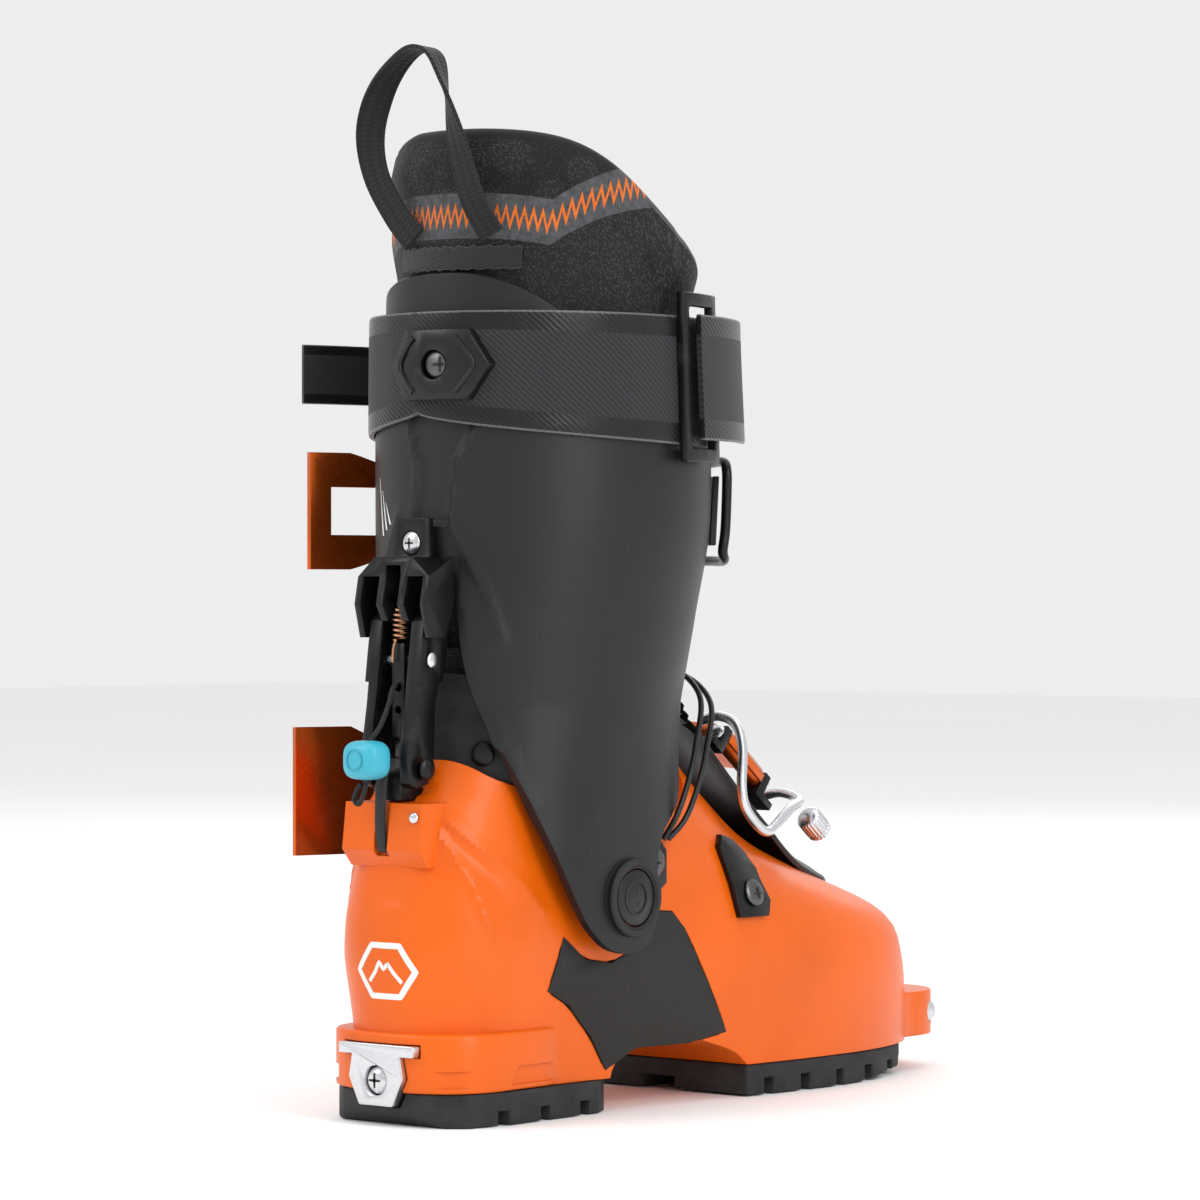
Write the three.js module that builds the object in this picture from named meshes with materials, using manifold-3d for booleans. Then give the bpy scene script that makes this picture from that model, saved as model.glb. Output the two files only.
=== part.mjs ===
// Alpine touring ski boot, left foot. Millimetres, +X medial (inner side), +Y toe, +Z up.
// While modelling, Y = 0 is the rearmost point of the heel and X = 0 its middle plane. The finished
// group is shifted so that the origin is the middle of the boot's bounding box, at floor level.
import * as THREE from 'three';
import { mergeVertices } from 'three/addons/utils/BufferGeometryUtils.js';
import Module from 'manifold-3d';

const wasm = await Module();
wasm.setup();

// ---- Driving dimensions ----
const GAP = 0.3;                       // clearance between touching pieces
const SOLE_LENGTH = 305;
const WELT_BOTTOM = 12;                // top of the rubber sole
const WELT_TOP = 33;                   // top of the heel welt ledge
const SHELL_WALL = 4;
const SHELL_TOP = 140;
const CUFF_WALL = 3.2;
const CUFF_BOTTOM = 58;
const CUFF_TOP = 290;
const PIVOT = { y: 84, z: 79 };        // ankle pivot axis, along X
const LEAN_BACK = -8;                  // travel of the cuff about the ankle pivot, degrees
const LEAN_FORWARD = 10;
const PIVOT_DISC_RADIUS = 10.3;
const PIVOT_FACE = 50.3;               // outer face of the pivot discs from the middle plane
const LINER_SPLIT_RADIUS = 71;         // liner foot and liner cuff part along this cylinder
const LINER_WALL = 8;
const BAR = { y: 11, z: 127 };         // lock bar pivot, along X
const BAR_TOP = 184;
const ARM_INNER = 7.2;
const ARM_OUTER = 13.2;
const STRAP_THICKNESS = 2.4;
const STRAP_SCREW = { x: 10, z: 272 };  // the strap's plate sits a little to the medial side
const WIRE_RADIUS = 1.9;
const RIDGE = { y: 178, z: 117, tiltDegrees: -38 };   // forefoot buckle frame on the instep ridge
const RING_POINTS = 32;

// ---- Materials ----
function material(color, roughness, metalness) {
  return new THREE.MeshStandardMaterial({ color, roughness, metalness });
}

const ORANGE = material(0xe8650e, 0.45, 0);
const GREY_PLASTIC = material(0x303236, 0.55, 0);
const PANEL_PLASTIC = material(0x35322f, 0.7, 0);
const BLACK_PLASTIC = material(0x121213, 0.4, 0);
const RUBBER = material(0x1a1a1a, 0.85, 0);
const STEEL = material(0xc4c6c8, 0.3, 1);
const BLACK_METAL = material(0x1b1b1d, 0.4, 0.6);
const ORANGE_METAL = material(0xd8570c, 0.35, 0.9);
const LINER_FABRIC = material(0x1c1c1d, 0.95, 0);
const WEBBING = material(0x161616, 0.8, 0);
const SPRING_STEEL = material(0xb08a6a, 0.35, 1);
const BEAD_BLUE = material(0x4fc0d0, 0.5, 0);

const boot = new THREE.Group();

function addPiece(name, geometry, finish, parent = boot) {
  const mesh = new THREE.Mesh(geometry, finish);
  mesh.name = name;
  parent.add(mesh);
  return mesh;
}

// ---- Solids ----
function toSolid(geometry) {
  const bare = geometry.clone();
  bare.deleteAttribute('normal');
  bare.deleteAttribute('uv');
  const merged = mergeVertices(bare, 1e-4);
  return new wasm.Manifold(new wasm.Mesh({
    numProp: 3,
    vertProperties: new Float32Array(merged.attributes.position.array),
    triVerts: new Uint32Array(merged.index.array),
  }));
}

function toGeometry(solid) {
  const mesh = solid.getMesh();
  const geometry = new THREE.BufferGeometry();
  geometry.setAttribute('position', new THREE.BufferAttribute(new Float32Array(mesh.vertProperties), 3));
  geometry.setIndex(new THREE.BufferAttribute(new Uint32Array(mesh.triVerts), 1));
  return geometry;
}

function join(...solids) {
  return solids.reduce((sum, solid) => sum.add(solid));
}

function cut(solid, ...tools) {
  return tools.reduce((left, tool) => left.subtract(tool), solid);
}

// The main body of a cut, without slivers that the cut has left loose.
function mainBody(solid) {
  const welded = toSolid(toGeometry(solid));
  return welded.decompose().reduce((best, body) => (body.volume() > best.volume() ? body : best));
}

function signedVolume(points, faces) {
  let sum = 0;
  for (const [a, b, c] of faces) {
    sum += points[a].dot(new THREE.Vector3().crossVectors(points[b], points[c]));
  }
  return sum / 6;
}

// A closed body from rings of equal point count: capped at both ends, or bent back on itself.
function skin(rings, loops = false) {
  const count = rings[0].length;
  const points = rings.flat();
  const faces = [];
  const last = loops ? rings.length : rings.length - 1;
  for (let r = 0; r < last; r++) {
    const next = (r + 1) % rings.length;
    for (let i = 0; i < count; i++) {
      const j = (i + 1) % count;
      faces.push([r * count + i, r * count + j, next * count + j]);
      faces.push([r * count + i, next * count + j, next * count + i]);
    }
  }
  if (!loops) {
    for (const [ring, flip] of [[0, true], [rings.length - 1, false]]) {
      const middle = new THREE.Vector3();
      rings[ring].forEach((point) => middle.addScaledVector(point, 1 / count));
      points.push(middle);
      for (let i = 0; i < count; i++) {
        const a = ring * count + i;
        const b = ring * count + (i + 1) % count;
        faces.push(flip ? [points.length - 1, b, a] : [points.length - 1, a, b]);
      }
    }
  }
  if (signedVolume(points, faces) < 0) {
    faces.forEach((face) => face.reverse());
  }
  const geometry = new THREE.BufferGeometry();
  geometry.setAttribute('position', new THREE.Float32BufferAttribute(points.flatMap((p) => [p.x, p.y, p.z]), 3));
  geometry.setIndex(faces.flat());
  return geometry;
}

function outlineShape(points) {
  return new THREE.Shape(points.map(([a, b]) => new THREE.Vector2(a, b)));
}

// Plates: an outline in one plane, given thickness along the third axis.
function plateYZ(points, x0, x1) {
  const geometry = new THREE.ExtrudeGeometry(outlineShape(points), { depth: x1 - x0, bevelEnabled: false });
  const turn = new THREE.Matrix4().set(0, 0, 1, x0, 1, 0, 0, 0, 0, 1, 0, 0, 0, 0, 0, 1);
  return geometry.applyMatrix4(turn);
}

function plateXZ(points, y0, y1) {
  const geometry = new THREE.ExtrudeGeometry(outlineShape(points), { depth: y1 - y0, bevelEnabled: false });
  const turn = new THREE.Matrix4().set(1, 0, 0, 0, 0, 0, -1, y1, 0, 1, 0, 0, 0, 0, 0, 1);
  return geometry.applyMatrix4(turn);
}

function plateXY(points, z0, z1) {
  const geometry = new THREE.ExtrudeGeometry(outlineShape(points), { depth: z1 - z0, bevelEnabled: false });
  return geometry.translate(0, 0, z0);
}

function block(x0, x1, y0, y1, z0, z1) {
  const box = new THREE.BoxGeometry(x1 - x0, y1 - y0, z1 - z0);
  return box.translate((x0 + x1) / 2, (y0 + y1) / 2, (z0 + z1) / 2);
}

// A round pin between two points.
function pin(from, to, radius, sides = 12) {
  const a = new THREE.Vector3(...from);
  const b = new THREE.Vector3(...to);
  const geometry = new THREE.CylinderGeometry(radius, radius, a.distanceTo(b), sides);
  const turn = new THREE.Quaternion().setFromUnitVectors(new THREE.Vector3(0, 1, 0), b.clone().sub(a).normalize());
  geometry.applyQuaternion(turn);
  return geometry.translate((a.x + b.x) / 2, (a.y + b.y) / 2, (a.z + b.z) / 2);
}

// A low domed rivet or screw head whose flat side stands at a point and looks along a direction.
function domedHead(at, direction, radius, height, sides = 12) {
  const profile = [[0, 0], [radius, 0], [radius, height * 0.45], [radius * 0.6, height], [0, height]];
  const geometry = new THREE.LatheGeometry(profile.map(([r, h]) => new THREE.Vector2(r, h)), sides);
  const axis = new THREE.Vector3(...direction).normalize();
  geometry.applyQuaternion(new THREE.Quaternion().setFromUnitVectors(new THREE.Vector3(0, 1, 0), axis));
  return geometry.translate(...at);
}

function circle(radius, sides) {
  const points = [];
  for (let i = 0; i < sides; i++) {
    const turn = 2 * Math.PI * i / sides;
    points.push(new THREE.Vector2(radius * Math.cos(turn), radius * Math.sin(turn)));
  }
  return new THREE.Shape(points);
}

function tube(points, radius, steps, sides = 8) {
  const path = new THREE.CatmullRomCurve3(points.map((p) => new THREE.Vector3(...p)));
  return new THREE.ExtrudeGeometry(circle(radius, sides), { steps, extrudePath: path, bevelEnabled: false });
}

// Smooth reading of a short list of levels, each [z, value, value, ...].
function levelAt(levels, z) {
  const last = levels.length - 1;
  const height = Math.min(Math.max(z, levels[0][0]), levels[last][0]);
  let i = 0;
  while (i < last - 1 && height > levels[i + 1][0]) {
    i += 1;
  }
  const [a, b] = [levels[i], levels[i + 1]];
  const before = levels[Math.max(i - 1, 0)];
  const after = levels[Math.min(i + 2, last)];
  const span = b[0] - a[0];
  const t = (height - a[0]) / span;
  return a.slice(1).map((value, k) => {
    const end = b[k + 1];
    const slopeA = (end - before[k + 1]) / (b[0] - before[0]) * span;
    const slopeB = (after[k + 1] - value) / (after[0] - a[0]) * span;
    const t2 = t * t;
    const t3 = t2 * t;
    return (2 * t3 - 3 * t2 + 1) * value + (t3 - 2 * t2 + t) * slopeA
      + (3 * t2 - 2 * t3) * end + (t3 - t2) * slopeB;
  });
}

// ---- Foot outline: horizontal sections of the lower shell ----
// [z, rear y, front y, half width at the heel, half width at the forefoot]
const FOOT_LEVELS = [
  [12, 3, 293, 33, 47],
  [33, 3, 291, 33, 49],
  [45, 2, 289, 34.5, 49.5],
  [58, 1, 284, 36.5, 48.5],
  [66, 1.5, 273, 37, 46.5],
  [74, 2.5, 252, 37, 44],
  [84, 4, 222, 35.5, 41.5],
  [96, 6, 192, 33.5, 40],
  [110, 8, 172, 32, 37],
  [124, 18, 156, 31, 33],
  [SHELL_TOP, 27, 142, 31, 30],
];
const HEEL_ROUND = 40;
const TOE_ROUND = 84;
const SIDE_STEPS = 2;
const HEEL_STEPS = 6;
const TOE_STEPS = 9;

function bluntArc(turn, power) {
  const c = Math.cos(turn);
  const s = Math.sin(turn);
  return [Math.sign(c) * Math.abs(c) ** power, Math.sign(s) * Math.abs(s) ** power];
}

function footRing(z, offset, at = z) {
  const [rear, front, heel, ball] = levelAt(FOOT_LEVELS, at);
  const halfHeel = heel + offset;
  const halfBall = ball + offset;
  const heelEnd = rear + HEEL_ROUND;
  const toeRound = Math.min(TOE_ROUND, (front - rear) * 0.42);
  const toeStart = front - toeRound;
  const ring = [];
  for (let i = 0; i <= HEEL_STEPS; i++) {
    const [c, s] = bluntArc(Math.PI * (i / HEEL_STEPS - 0.5), 0.86);
    ring.push(new THREE.Vector3(halfHeel * s, heelEnd - (HEEL_ROUND + offset) * c, z));
  }
  const side = (k) => {
    const t = k / (SIDE_STEPS + 1);
    const ease = t * t * (3 - 2 * t);
    return [halfHeel + (halfBall - halfHeel) * ease, heelEnd + (toeStart - heelEnd) * t];
  };
  for (let k = 1; k <= SIDE_STEPS; k++) {
    const [x, y] = side(k);
    ring.push(new THREE.Vector3(x, y, z));
  }
  for (let i = 0; i <= TOE_STEPS; i++) {
    const [c, s] = bluntArc(Math.PI * (0.5 - i / TOE_STEPS), 0.9);
    ring.push(new THREE.Vector3(halfBall * s, toeStart + (toeRound + offset) * c, z));
  }
  for (let k = SIDE_STEPS; k >= 1; k--) {
    const [x, y] = side(k);
    ring.push(new THREE.Vector3(-x, y, z));
  }
  return ring;
}

function spread(from, to, steps) {
  return Array.from({ length: steps + 1 }, (_, i) => from + (to - from) * i / steps);
}

const FOOT_HEIGHTS = [WELT_BOTTOM, 33, 45, 56, 63, 69, 75, 82, 90, 100, 112, 124, SHELL_TOP];

function footSolid(offset) {
  return toSolid(skin(FOOT_HEIGHTS.map((z) => footRing(z, offset))));
}

// The inside follows the outside one wall lower, so that sloping walls keep their thickness.
function footCavity() {
  const heights = [26, 42, 54, 62, 70, 80, 94, 110, 126, 136, 160];
  return toSolid(skin(heights.map((z) => footRing(z, -SHELL_WALL, z + SHELL_WALL))));
}

// ---- Cuff outline: horizontal sections of the leg part ----
// [z, middle y, half width, half length]
const CUFF_LEVELS = [
  [50, 84, 48.3, 56],
  [100, 82, 48.3, 58],
  [128, 82, 48.8, 60],
  [150, 84, 50.5, 62],
  [180, 87, 54, 65],
  [220, 91, 58, 68],
  [300, 90, 57, 66.5],
  [380, 96, 57, 66],
];
const SQUARE_BELOW = 150;              // below this the sections grow squarer, for flat sides at the pivot

function cuffPoint(z, turn, offset) {
  const [middle, halfWidth, halfLength] = levelAt(CUFF_LEVELS, z);
  const square = Math.min(Math.max((SQUARE_BELOW - z) / 60, 0), 1);
  const [c, s] = bluntArc(turn, 1 - 0.32 * square);
  return new THREE.Vector3((halfWidth + offset) * s, middle - (halfLength + offset) * c, z);
}

// Angle 0 is the rear, a quarter turn is the medial side.
function cuffRing(z, offset, points = RING_POINTS) {
  return Array.from({ length: points }, (_, i) => cuffPoint(z, 2 * Math.PI * i / points, offset));
}

function cuffTube(heights, outer, inner) {
  const outside = heights.map((z) => cuffRing(z, outer));
  const inside = heights.map((z) => cuffRing(z, inner)).reverse();
  return toSolid(skin([...outside, ...inside], true));
}

// ---- Lower shell ----
const PANEL_OUTLINE = [[58, 66], [70, 57], [84, 55], [96, 60], [106, 73], [118, 72], [139, 38], [146, 25],
  [126, 22], [100, 22], [84, 15], [76, 28], [64, 40], [52, 46]];
const PANEL_DEPTH = 2.2;

function shellBody() {
  const heelWelt = toSolid(skin([WELT_BOTTOM, WELT_TOP].map((z) => weltRing(z, 0, 62))));
  const toeWelt = toSolid(skin([WELT_BOTTOM + 1, 31].map((z) => toeWeltRing(z))));
  const heelBlock = toSolid(plateYZ([[1, 98], [6, 92], [24, 92], [24, 115], [3, 115]], -18.5, 18.5));
  return cut(join(footSolid(0), heelWelt, toeWelt, heelBlock), footCavity());
}

// The ledge round the heel, which a binding grips.
function weltRing(z, rear, front) {
  const ring = [];
  const half = 35.5;
  for (let i = 0; i <= HEEL_STEPS; i++) {
    const [c, s] = bluntArc(Math.PI * (i / HEEL_STEPS - 0.5), 0.78);
    ring.push(new THREE.Vector3(half * s, rear + 30 - 30 * c, z));
  }
  ring.push(new THREE.Vector3(half, front - 8, z));
  ring.push(new THREE.Vector3(half - 4, front, z));
  ring.push(new THREE.Vector3(4 - half, front, z));
  ring.push(new THREE.Vector3(-half, front - 8, z));
  return ring;
}

// The flat lip ahead of the toe.
function toeWeltRing(z) {
  const ring = [];
  const half = 34;
  for (let i = 0; i <= HEEL_STEPS; i++) {
    const [c, s] = bluntArc(Math.PI * (i / HEEL_STEPS - 0.5), 0.75);
    ring.push(new THREE.Vector3(-half * s, SOLE_LENGTH - 26 + 26 * c, z));
  }
  return ring.concat([new THREE.Vector3(-half, 270, z), new THREE.Vector3(half, 270, z)]);
}

// The outer shell is cut away at the arch, the throat over the instep and behind the ankle.
function lowerShell() {
  const arch = plateYZ([[84, 0], [88, 17], [98, 24], [126, 25], [150, 18], [158, 11.9], [158, 0]], -80, 80);
  const collar = plateYZ([[-20, 115.5], [16, 115.5], [21, 130], [24, 130], [34, 122], [60, 116], [90, 118], [112, 128], [150, 136],
    [150, 180], [-20, 180]], -80, 80);
  const throat = plateXY([[-19, 118], [19, 118], [19, 190], [13, 224], [-13, 224], [-19, 190]], 60, 180);
  const strapSlot = block(-3.2, 3.2, -5, 4.4, 96, 120);
  const insertPocket = heelInsertOutline(0.4);
  const insertScrewHole = pin([0, -2, 16], [0, 16, 16], 3);
  const sideGroove = block(-50, 50, -2, 3, 20, 26);
  const anchorRoom = block(-6.6, 6.6, 0, 17.5, 115.4, 132);
  const panels = [plateYZ(PANEL_OUTLINE, 20, 80), plateYZ(PANEL_OUTLINE, -80, -20)];
  const recess = join(...panels.map(toSolid)).subtract(footSolid(-PANEL_DEPTH - GAP));
  const pivotHoles = pin([-60, PIVOT.y, PIVOT.z], [60, PIVOT.y, PIVOT.z], 5.2, 24);
  const toeHole = pin([-40, 293, 22], [40, 293, 22], 4.4);
  return clearOfLean(cut(shellBody(), toSolid(arch), toSolid(collar), toSolid(throat), toSolid(strapSlot),
    toSolid(insertPocket), toSolid(insertScrewHole), toSolid(sideGroove), toSolid(anchorRoom), recess, toSolid(pivotHoles),
    toSolid(toeHole)));
}

function corePanel(side) {
  const plate = toSolid(side > 0 ? plateYZ(PANEL_OUTLINE, 20, 80) : plateYZ(PANEL_OUTLINE, -80, -20));
  const shifts = [[GAP, 0], [-GAP, 0], [0, GAP], [0, -GAP]];
  const trimmed = shifts.reduce((left, [y, z]) => left.intersect(plate.translate([0, y, z])), plate);
  const pivotHole = toSolid(pin([-60, PIVOT.y, PIVOT.z], [60, PIVOT.y, PIVOT.z], 5.2, 24));
  return cut(footSolid(0).intersect(trimmed), footSolid(-PANEL_DEPTH), pivotHole);
}

// The tech-binding insert at the heel: a T-shaped steel block held by one screw.
function heelInsertOutline(grow) {
  const outline = [[-18 - grow, 29 + grow], [-18 - grow, 25 - grow], [-11.5 - grow, 25 - grow],
    [-13 - grow, 17], [-8 - grow, 7 - grow], [8 + grow, 7 - grow], [13 + grow, 17],
    [11.5 + grow, 25 - grow], [18 + grow, 25 - grow], [18 + grow, 29 + grow]];
  return plateXZ(outline, grow ? -3 : -1.6, 6 + grow);
}

function heelInsert() {
  return cut(toSolid(heelInsertOutline(0)), toSolid(pin([0, -5, 16], [0, 10, 16], 5.4, 20)));
}

function toeInsert() {
  return pin([-31, 293, 22], [31, 293, 22], 4, 12);
}

// ---- Outsole ----
const LUG_DEPTH = 5;

function soleBlock(outline, z0, z1) {
  return toSolid(plateXY(outline, z0, z1));
}

function heelSole() {
  const ring = weltRing(0, 1, 88).map((p) => [p.x, p.y]);
  const grooves = [-26, 26].flatMap((x) => [26, 48, 70].map((y) => block(x - 12, x + 12, y, y + 5, -1, LUG_DEPTH)));
  const middle = block(-7, 7, 8, 95, -1, LUG_DEPTH);
  const rearBevel = plateYZ([[-5, -1], [-5, 6], [1, 6], [9, -1]], -60, 60);
  const insertRoom = heelInsertOutline(0.6);
  return cut(soleBlock(ring, 0, WELT_BOTTOM - GAP), ...grooves.map(toSolid), toSolid(middle),
    toSolid(rearBevel), toSolid(insertRoom));
}

function frontSole() {
  const outline = footRing(0, -1.5, 30).map((p) => [p.x, p.y]);
  const behind = toSolid(block(-80, 80, -20, 158, -5, 40));
  const grooveRows = spread(168, 272, 5);
  const grooves = [-34, 34].flatMap((x) => grooveRows.map((y) => block(x - 20, x + 20, y, y + 5, -1, LUG_DEPTH + 1)));
  const middle = block(-8, 8, 150, 300, -1, LUG_DEPTH);
  const rocker = plateYZ([[150, -5], [150, 1], [166, 0], [226, 0], [262, 2.5], [300, 8], [312, 8], [312, -5]], -80, 80);
  return cut(soleBlock(outline, 0, WELT_BOTTOM - GAP), behind, ...grooves.map(toSolid), toSolid(middle),
    toSolid(rocker));
}

// ---- Inside the shell ----
function bootBoard() {
  return toSolid(skin([26.6, 31].map((z) => footRing(z, -SHELL_WALL - 2.4, 44))));
}

function pivotCylinder(radius, width = 90) {
  return toSolid(pin([-width, PIVOT.y, PIVOT.z], [width, PIVOT.y, PIVOT.z], radius, 48));
}

function cuffSolid(offset) {
  return toSolid(skin([50, 90, 128, 150, 180, 220, 300].map((z) => cuffRing(z, offset))));
}

function leaned(solid, degrees) {
  return solid.translate([0, -PIVOT.y, -PIVOT.z]).rotate([-degrees, 0, 0]).translate([0, PIVOT.y, PIVOT.z]);
}

// The space that stays inside the cuff however far it leans.
function alwaysInsideCuff(offset) {
  const upright = cuffSolid(offset);
  return [LEAN_BACK, LEAN_FORWARD].reduce((left, lean) => left.intersect(leaned(upright, lean)), upright);
}

// The foot part of the liner: closed round the foot, open at the ankle.
function linerFoot() {
  const heights = [31.4, 46, 56, 64, 74, 86, 100, 118, 136, 152];
  const outer = heights.map((z) => footRing(z, -SHELL_WALL - 0.8, z + SHELL_WALL + 1));
  const hollow = [38, 48, 58, 68, 80, 94, 110, 128, 170];
  const wall = SHELL_WALL + 6;
  const cavity = toSolid(skin(hollow.map((z) => footRing(z, -wall, Math.min(z + wall, 150)))));
  const below = toSolid(block(-80, 80, -20, 320, 20, 108));
  const solid = toSolid(skin(outer)).intersect(alwaysInsideCuff(-CUFF_WALL - 2).add(below))
    .intersect(pivotCylinder(LINER_SPLIT_RADIUS - 1).add(toSolid(block(-60, 60, PIVOT.y + 25, 300, 20, 100))));
  const throat = toSolid(plateXY([[-16, 100], [16, 100], [14, 170], [-14, 170]], 70, 190));
  const pivotRoom = pin([-60, PIVOT.y, PIVOT.z], [60, PIVOT.y, PIVOT.z], 5.4, 24);
  return cut(solid, cavity, throat, toSolid(pivotRoom));
}

function pivotDisc(side) {
  const disc = pin([side * 49.2, PIVOT.y, PIVOT.z], [side * PIVOT_FACE, PIVOT.y, PIVOT.z], PIVOT_DISC_RADIUS, 28);
  const shank = pin([side * 36, PIVOT.y, PIVOT.z], [side * 49.6, PIVOT.y, PIVOT.z], 4.8, 24);
  return join(toSolid(disc), toSolid(shank));
}

// The plastic tongue over the throat of the shell, from the toe end up into the cuff.
const TONGUE_LEVELS = [[246, 80], [232, 84.5], [214, 92], [196, 104], [178, 119.5], [162, 135], [152, 146], [145, 157]];

function tongueRow(index, lift) {
  const [y, z] = TONGUE_LEVELS[index];
  const along = index / (TONGUE_LEVELS.length - 1);
  const half = 19 + 12 * Math.min(along * 2.2, 1);
  const sag = 5 + 11 * along;
  const row = [];
  for (let i = 0; i <= 8; i++) {
    const t = i / 4 - 1;
    row.push(new THREE.Vector3(half * t, y - sag * 0.35 * t * t, z - sag * 0.65 * t * t + lift));
  }
  return row;
}

// Room for the cuff's lower edge as the cuff leans forward over a piece fixed to the shell.
function clearOfLean(solid) {
  const edge = toSolid(plateYZ(CUFF_SIDE, -80, 80)).intersect(cuffSolid(3)).subtract(cuffSolid(-CUFF_WALL - 1.6));
  return [0.3, 0.55, 0.8, 1.06].reduce((left, part) => left.subtract(leaned(edge, part * LEAN_FORWARD)), solid);
}

function tongue() {
  const rings = TONGUE_LEVELS.map((_, index) => {
    const top = tongueRow(index, 0);
    const under = top.map((p) => {
      const lean = index / (TONGUE_LEVELS.length - 1);
      return new THREE.Vector3(p.x * 0.97, p.y - 2.8 * lean, p.z - 3 * (1.1 - lean));
    }).reverse();
    return [...top, ...under];
  });
  return mainBody(clearOfLean(cut(toSolid(skin(rings)), footSolid(1))));
}

// Black rubber gaiter behind the ankle, between the shell's collar and the cuff's cut-out.
function ankleGaiter() {
  const heights = spread(112, 164, 4);
  const ring = (z, offset) => cuffRing(z, offset);
  const outside = heights.map((z) => ring(z, -CUFF_WALL - 3.2 - (z - 112) * 0.03));
  const inside = heights.map((z) => ring(z, -CUFF_WALL - 5.4 - (z - 112) * 0.03)).reverse();
  const around = toSolid(skin([...outside, ...inside], true));
  const keep = toSolid(plateYZ([[10, 130.6], [24, 130.6], [34, 122.8], [50, 118.6], [52, 130], [44, 150], [30, 163],
    [10, 163]], -60, 60));
  return around.intersect(keep).intersect(pivotCylinder(99));
}

// ---- Cuff ----
const CUFF_SIDE = [[-10, 300], [-10, 150], [30, 140], [38, 117], [51, 87], [60, 70], [70, 61], [82, CUFF_BOTTOM],
  [94, 61], [99, 70], [100, 82], [99, 92], [103, 102], [111, 108], [121, 115], [129, 127], [132, 142], [138, 156], [148, 166],
  [175, 172], [175, 300]];

function cuffShell() {
  const heights = [CUFF_BOTTOM - 3, 80, 104, 128, 150, 180, 204, 226, 256, CUFF_TOP];
  const body = cuffTube(heights, 0, -CUFF_WALL).intersect(toSolid(plateYZ(CUFF_SIDE, -80, 80)));
  const rearOpening = plateXZ([[-15.6, 200], [-15.6, 184], [-17, 168], [-20, 154], [-26, 140], [-36, 112], [-44, 50],
    [44, 50], [36, 112], [26, 140], [20, 154], [17, 168], [15.6, 184], [15.6, 200]], -20, 60);
  const frontGap = plateXY([[-13, 100], [13, 100], [13, 180], [-13, 180]], 100, 310);
  const pivotHoles = pin([-70, PIVOT.y, PIVOT.z], [70, PIVOT.y, PIVOT.z], 10.8, 28);
  const ringRim = (side) => cut(
    toSolid(pin([side * 45.6, PIVOT.y, PIVOT.z], [side * 50.6, PIVOT.y, PIVOT.z], 14.4, 28)));
  return cut(join(cut(body, toSolid(rearOpening)), ringRim(1), ringRim(-1)), toSolid(frontGap), toSolid(pivotHoles));
}

function spoiler() {
  const body = cuffTube([262, 276, 290, 306], -CUFF_WALL - GAP, -CUFF_WALL - 3.3);
  const keep = plateXZ([[-36, 262], [-44, 292], [-22, 303], [0, 305.5], [22, 304], [48, 292], [40, 262]], -10, 78);
  return body.intersect(toSolid(keep));
}

// The leg part of the liner, sitting above the ankle split, with a groove at the rear for the lock bar.
function linerCuff() {
  const heights = [70, 128, 150, 164, 180, 220, 300, 330, 362];
  const offset = (z) => -CUFF_WALL - 4.2 - (z < 170 ? 3.6 : 0) + (z > 306 ? 3.4 : 0);
  const outside = toSolid(skin(heights.map((z) => cuffRing(z, offset(z)))));
  const leg = toSolid(skin([66, ...heights.slice(1), 366].map((z) => cuffRing(z, offset(z) - LINER_WALL))));
  const groove = plateYZ([[0, 90], [44, 90], [44, 186], [30, 204], [0, 204]], -17, 17);
  const groovePad = plateYZ([[0, 60], [50.5, 60], [50.5, 190], [34, 214], [0, 214]], -23, 23);
  const rim = plateYZ([[-10, 60], [200, 60], [200, 298], [152, 298], [130, 302], [108, 319], [86, 338], [60, 352],
    [34, 358], [-10, 352]], -80, 80);
  const rivetRoom = plateYZ([[20, 100], [48, 100], [45, 148], [24, 150]], -29, 29);
  const throat = plateXY([[-22, 110], [22, 110], [22, 190], [-22, 190]], 60, 400);
  const ankleTongue = plateYZ([[106, 60], [170, 60], [170, 196], [128, 176], [112, 150]], -80, 80);
  return cut(outside.intersect(toSolid(rim)), toSolid(groove), leg.subtract(toSolid(groovePad)),
    pivotCylinder(LINER_SPLIT_RADIUS + 0.5), toSolid(block(-80, 80, -20, 200, 60, 96)), toSolid(throat),
    toSolid(ankleTongue), toSolid(rivetRoom));
}

// The padded tongue of the liner, in front of the shin.
function linerTongue() {
  const heights = spread(200, 332, 4);
  const outside = heights.map((z) => cuffRing(z, -CUFF_WALL - 1.2));
  const inside = heights.map((z) => cuffRing(z, -CUFF_WALL - 8.4)).reverse();
  const keep = plateXY([[-21, 120], [21, 120], [21, 180], [-21, 180]], 198, 340);
  return toSolid(skin([...outside, ...inside], true)).intersect(toSolid(keep));
}

function strapBottom(turn) {
  return 255 - 11 * Math.sin(turn / 2) ** 0.7;
}

// A band round the cuff between two offsets, deeper in front than behind.
function strapBand() {
  const rows = [0, 0.5, 1];
  const ring = (part, offset) => Array.from({ length: RING_POINTS }, (_, i) => {
    const turn = 2 * Math.PI * i / RING_POINTS;
    const low = strapBottom(Math.min(turn, 2 * Math.PI - turn) * 1.4 > Math.PI ? Math.PI : Math.min(turn, 2 * Math.PI - turn) * 1.4);
    return cuffPoint(low + (291 - low) * part, turn, offset);
  });
  const outside = rows.map((part) => ring(part, GAP + STRAP_THICKNESS));
  const inside = rows.map((part) => ring(part, GAP)).reverse();
  return toSolid(skin([...outside, ...inside], true));
}

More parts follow.
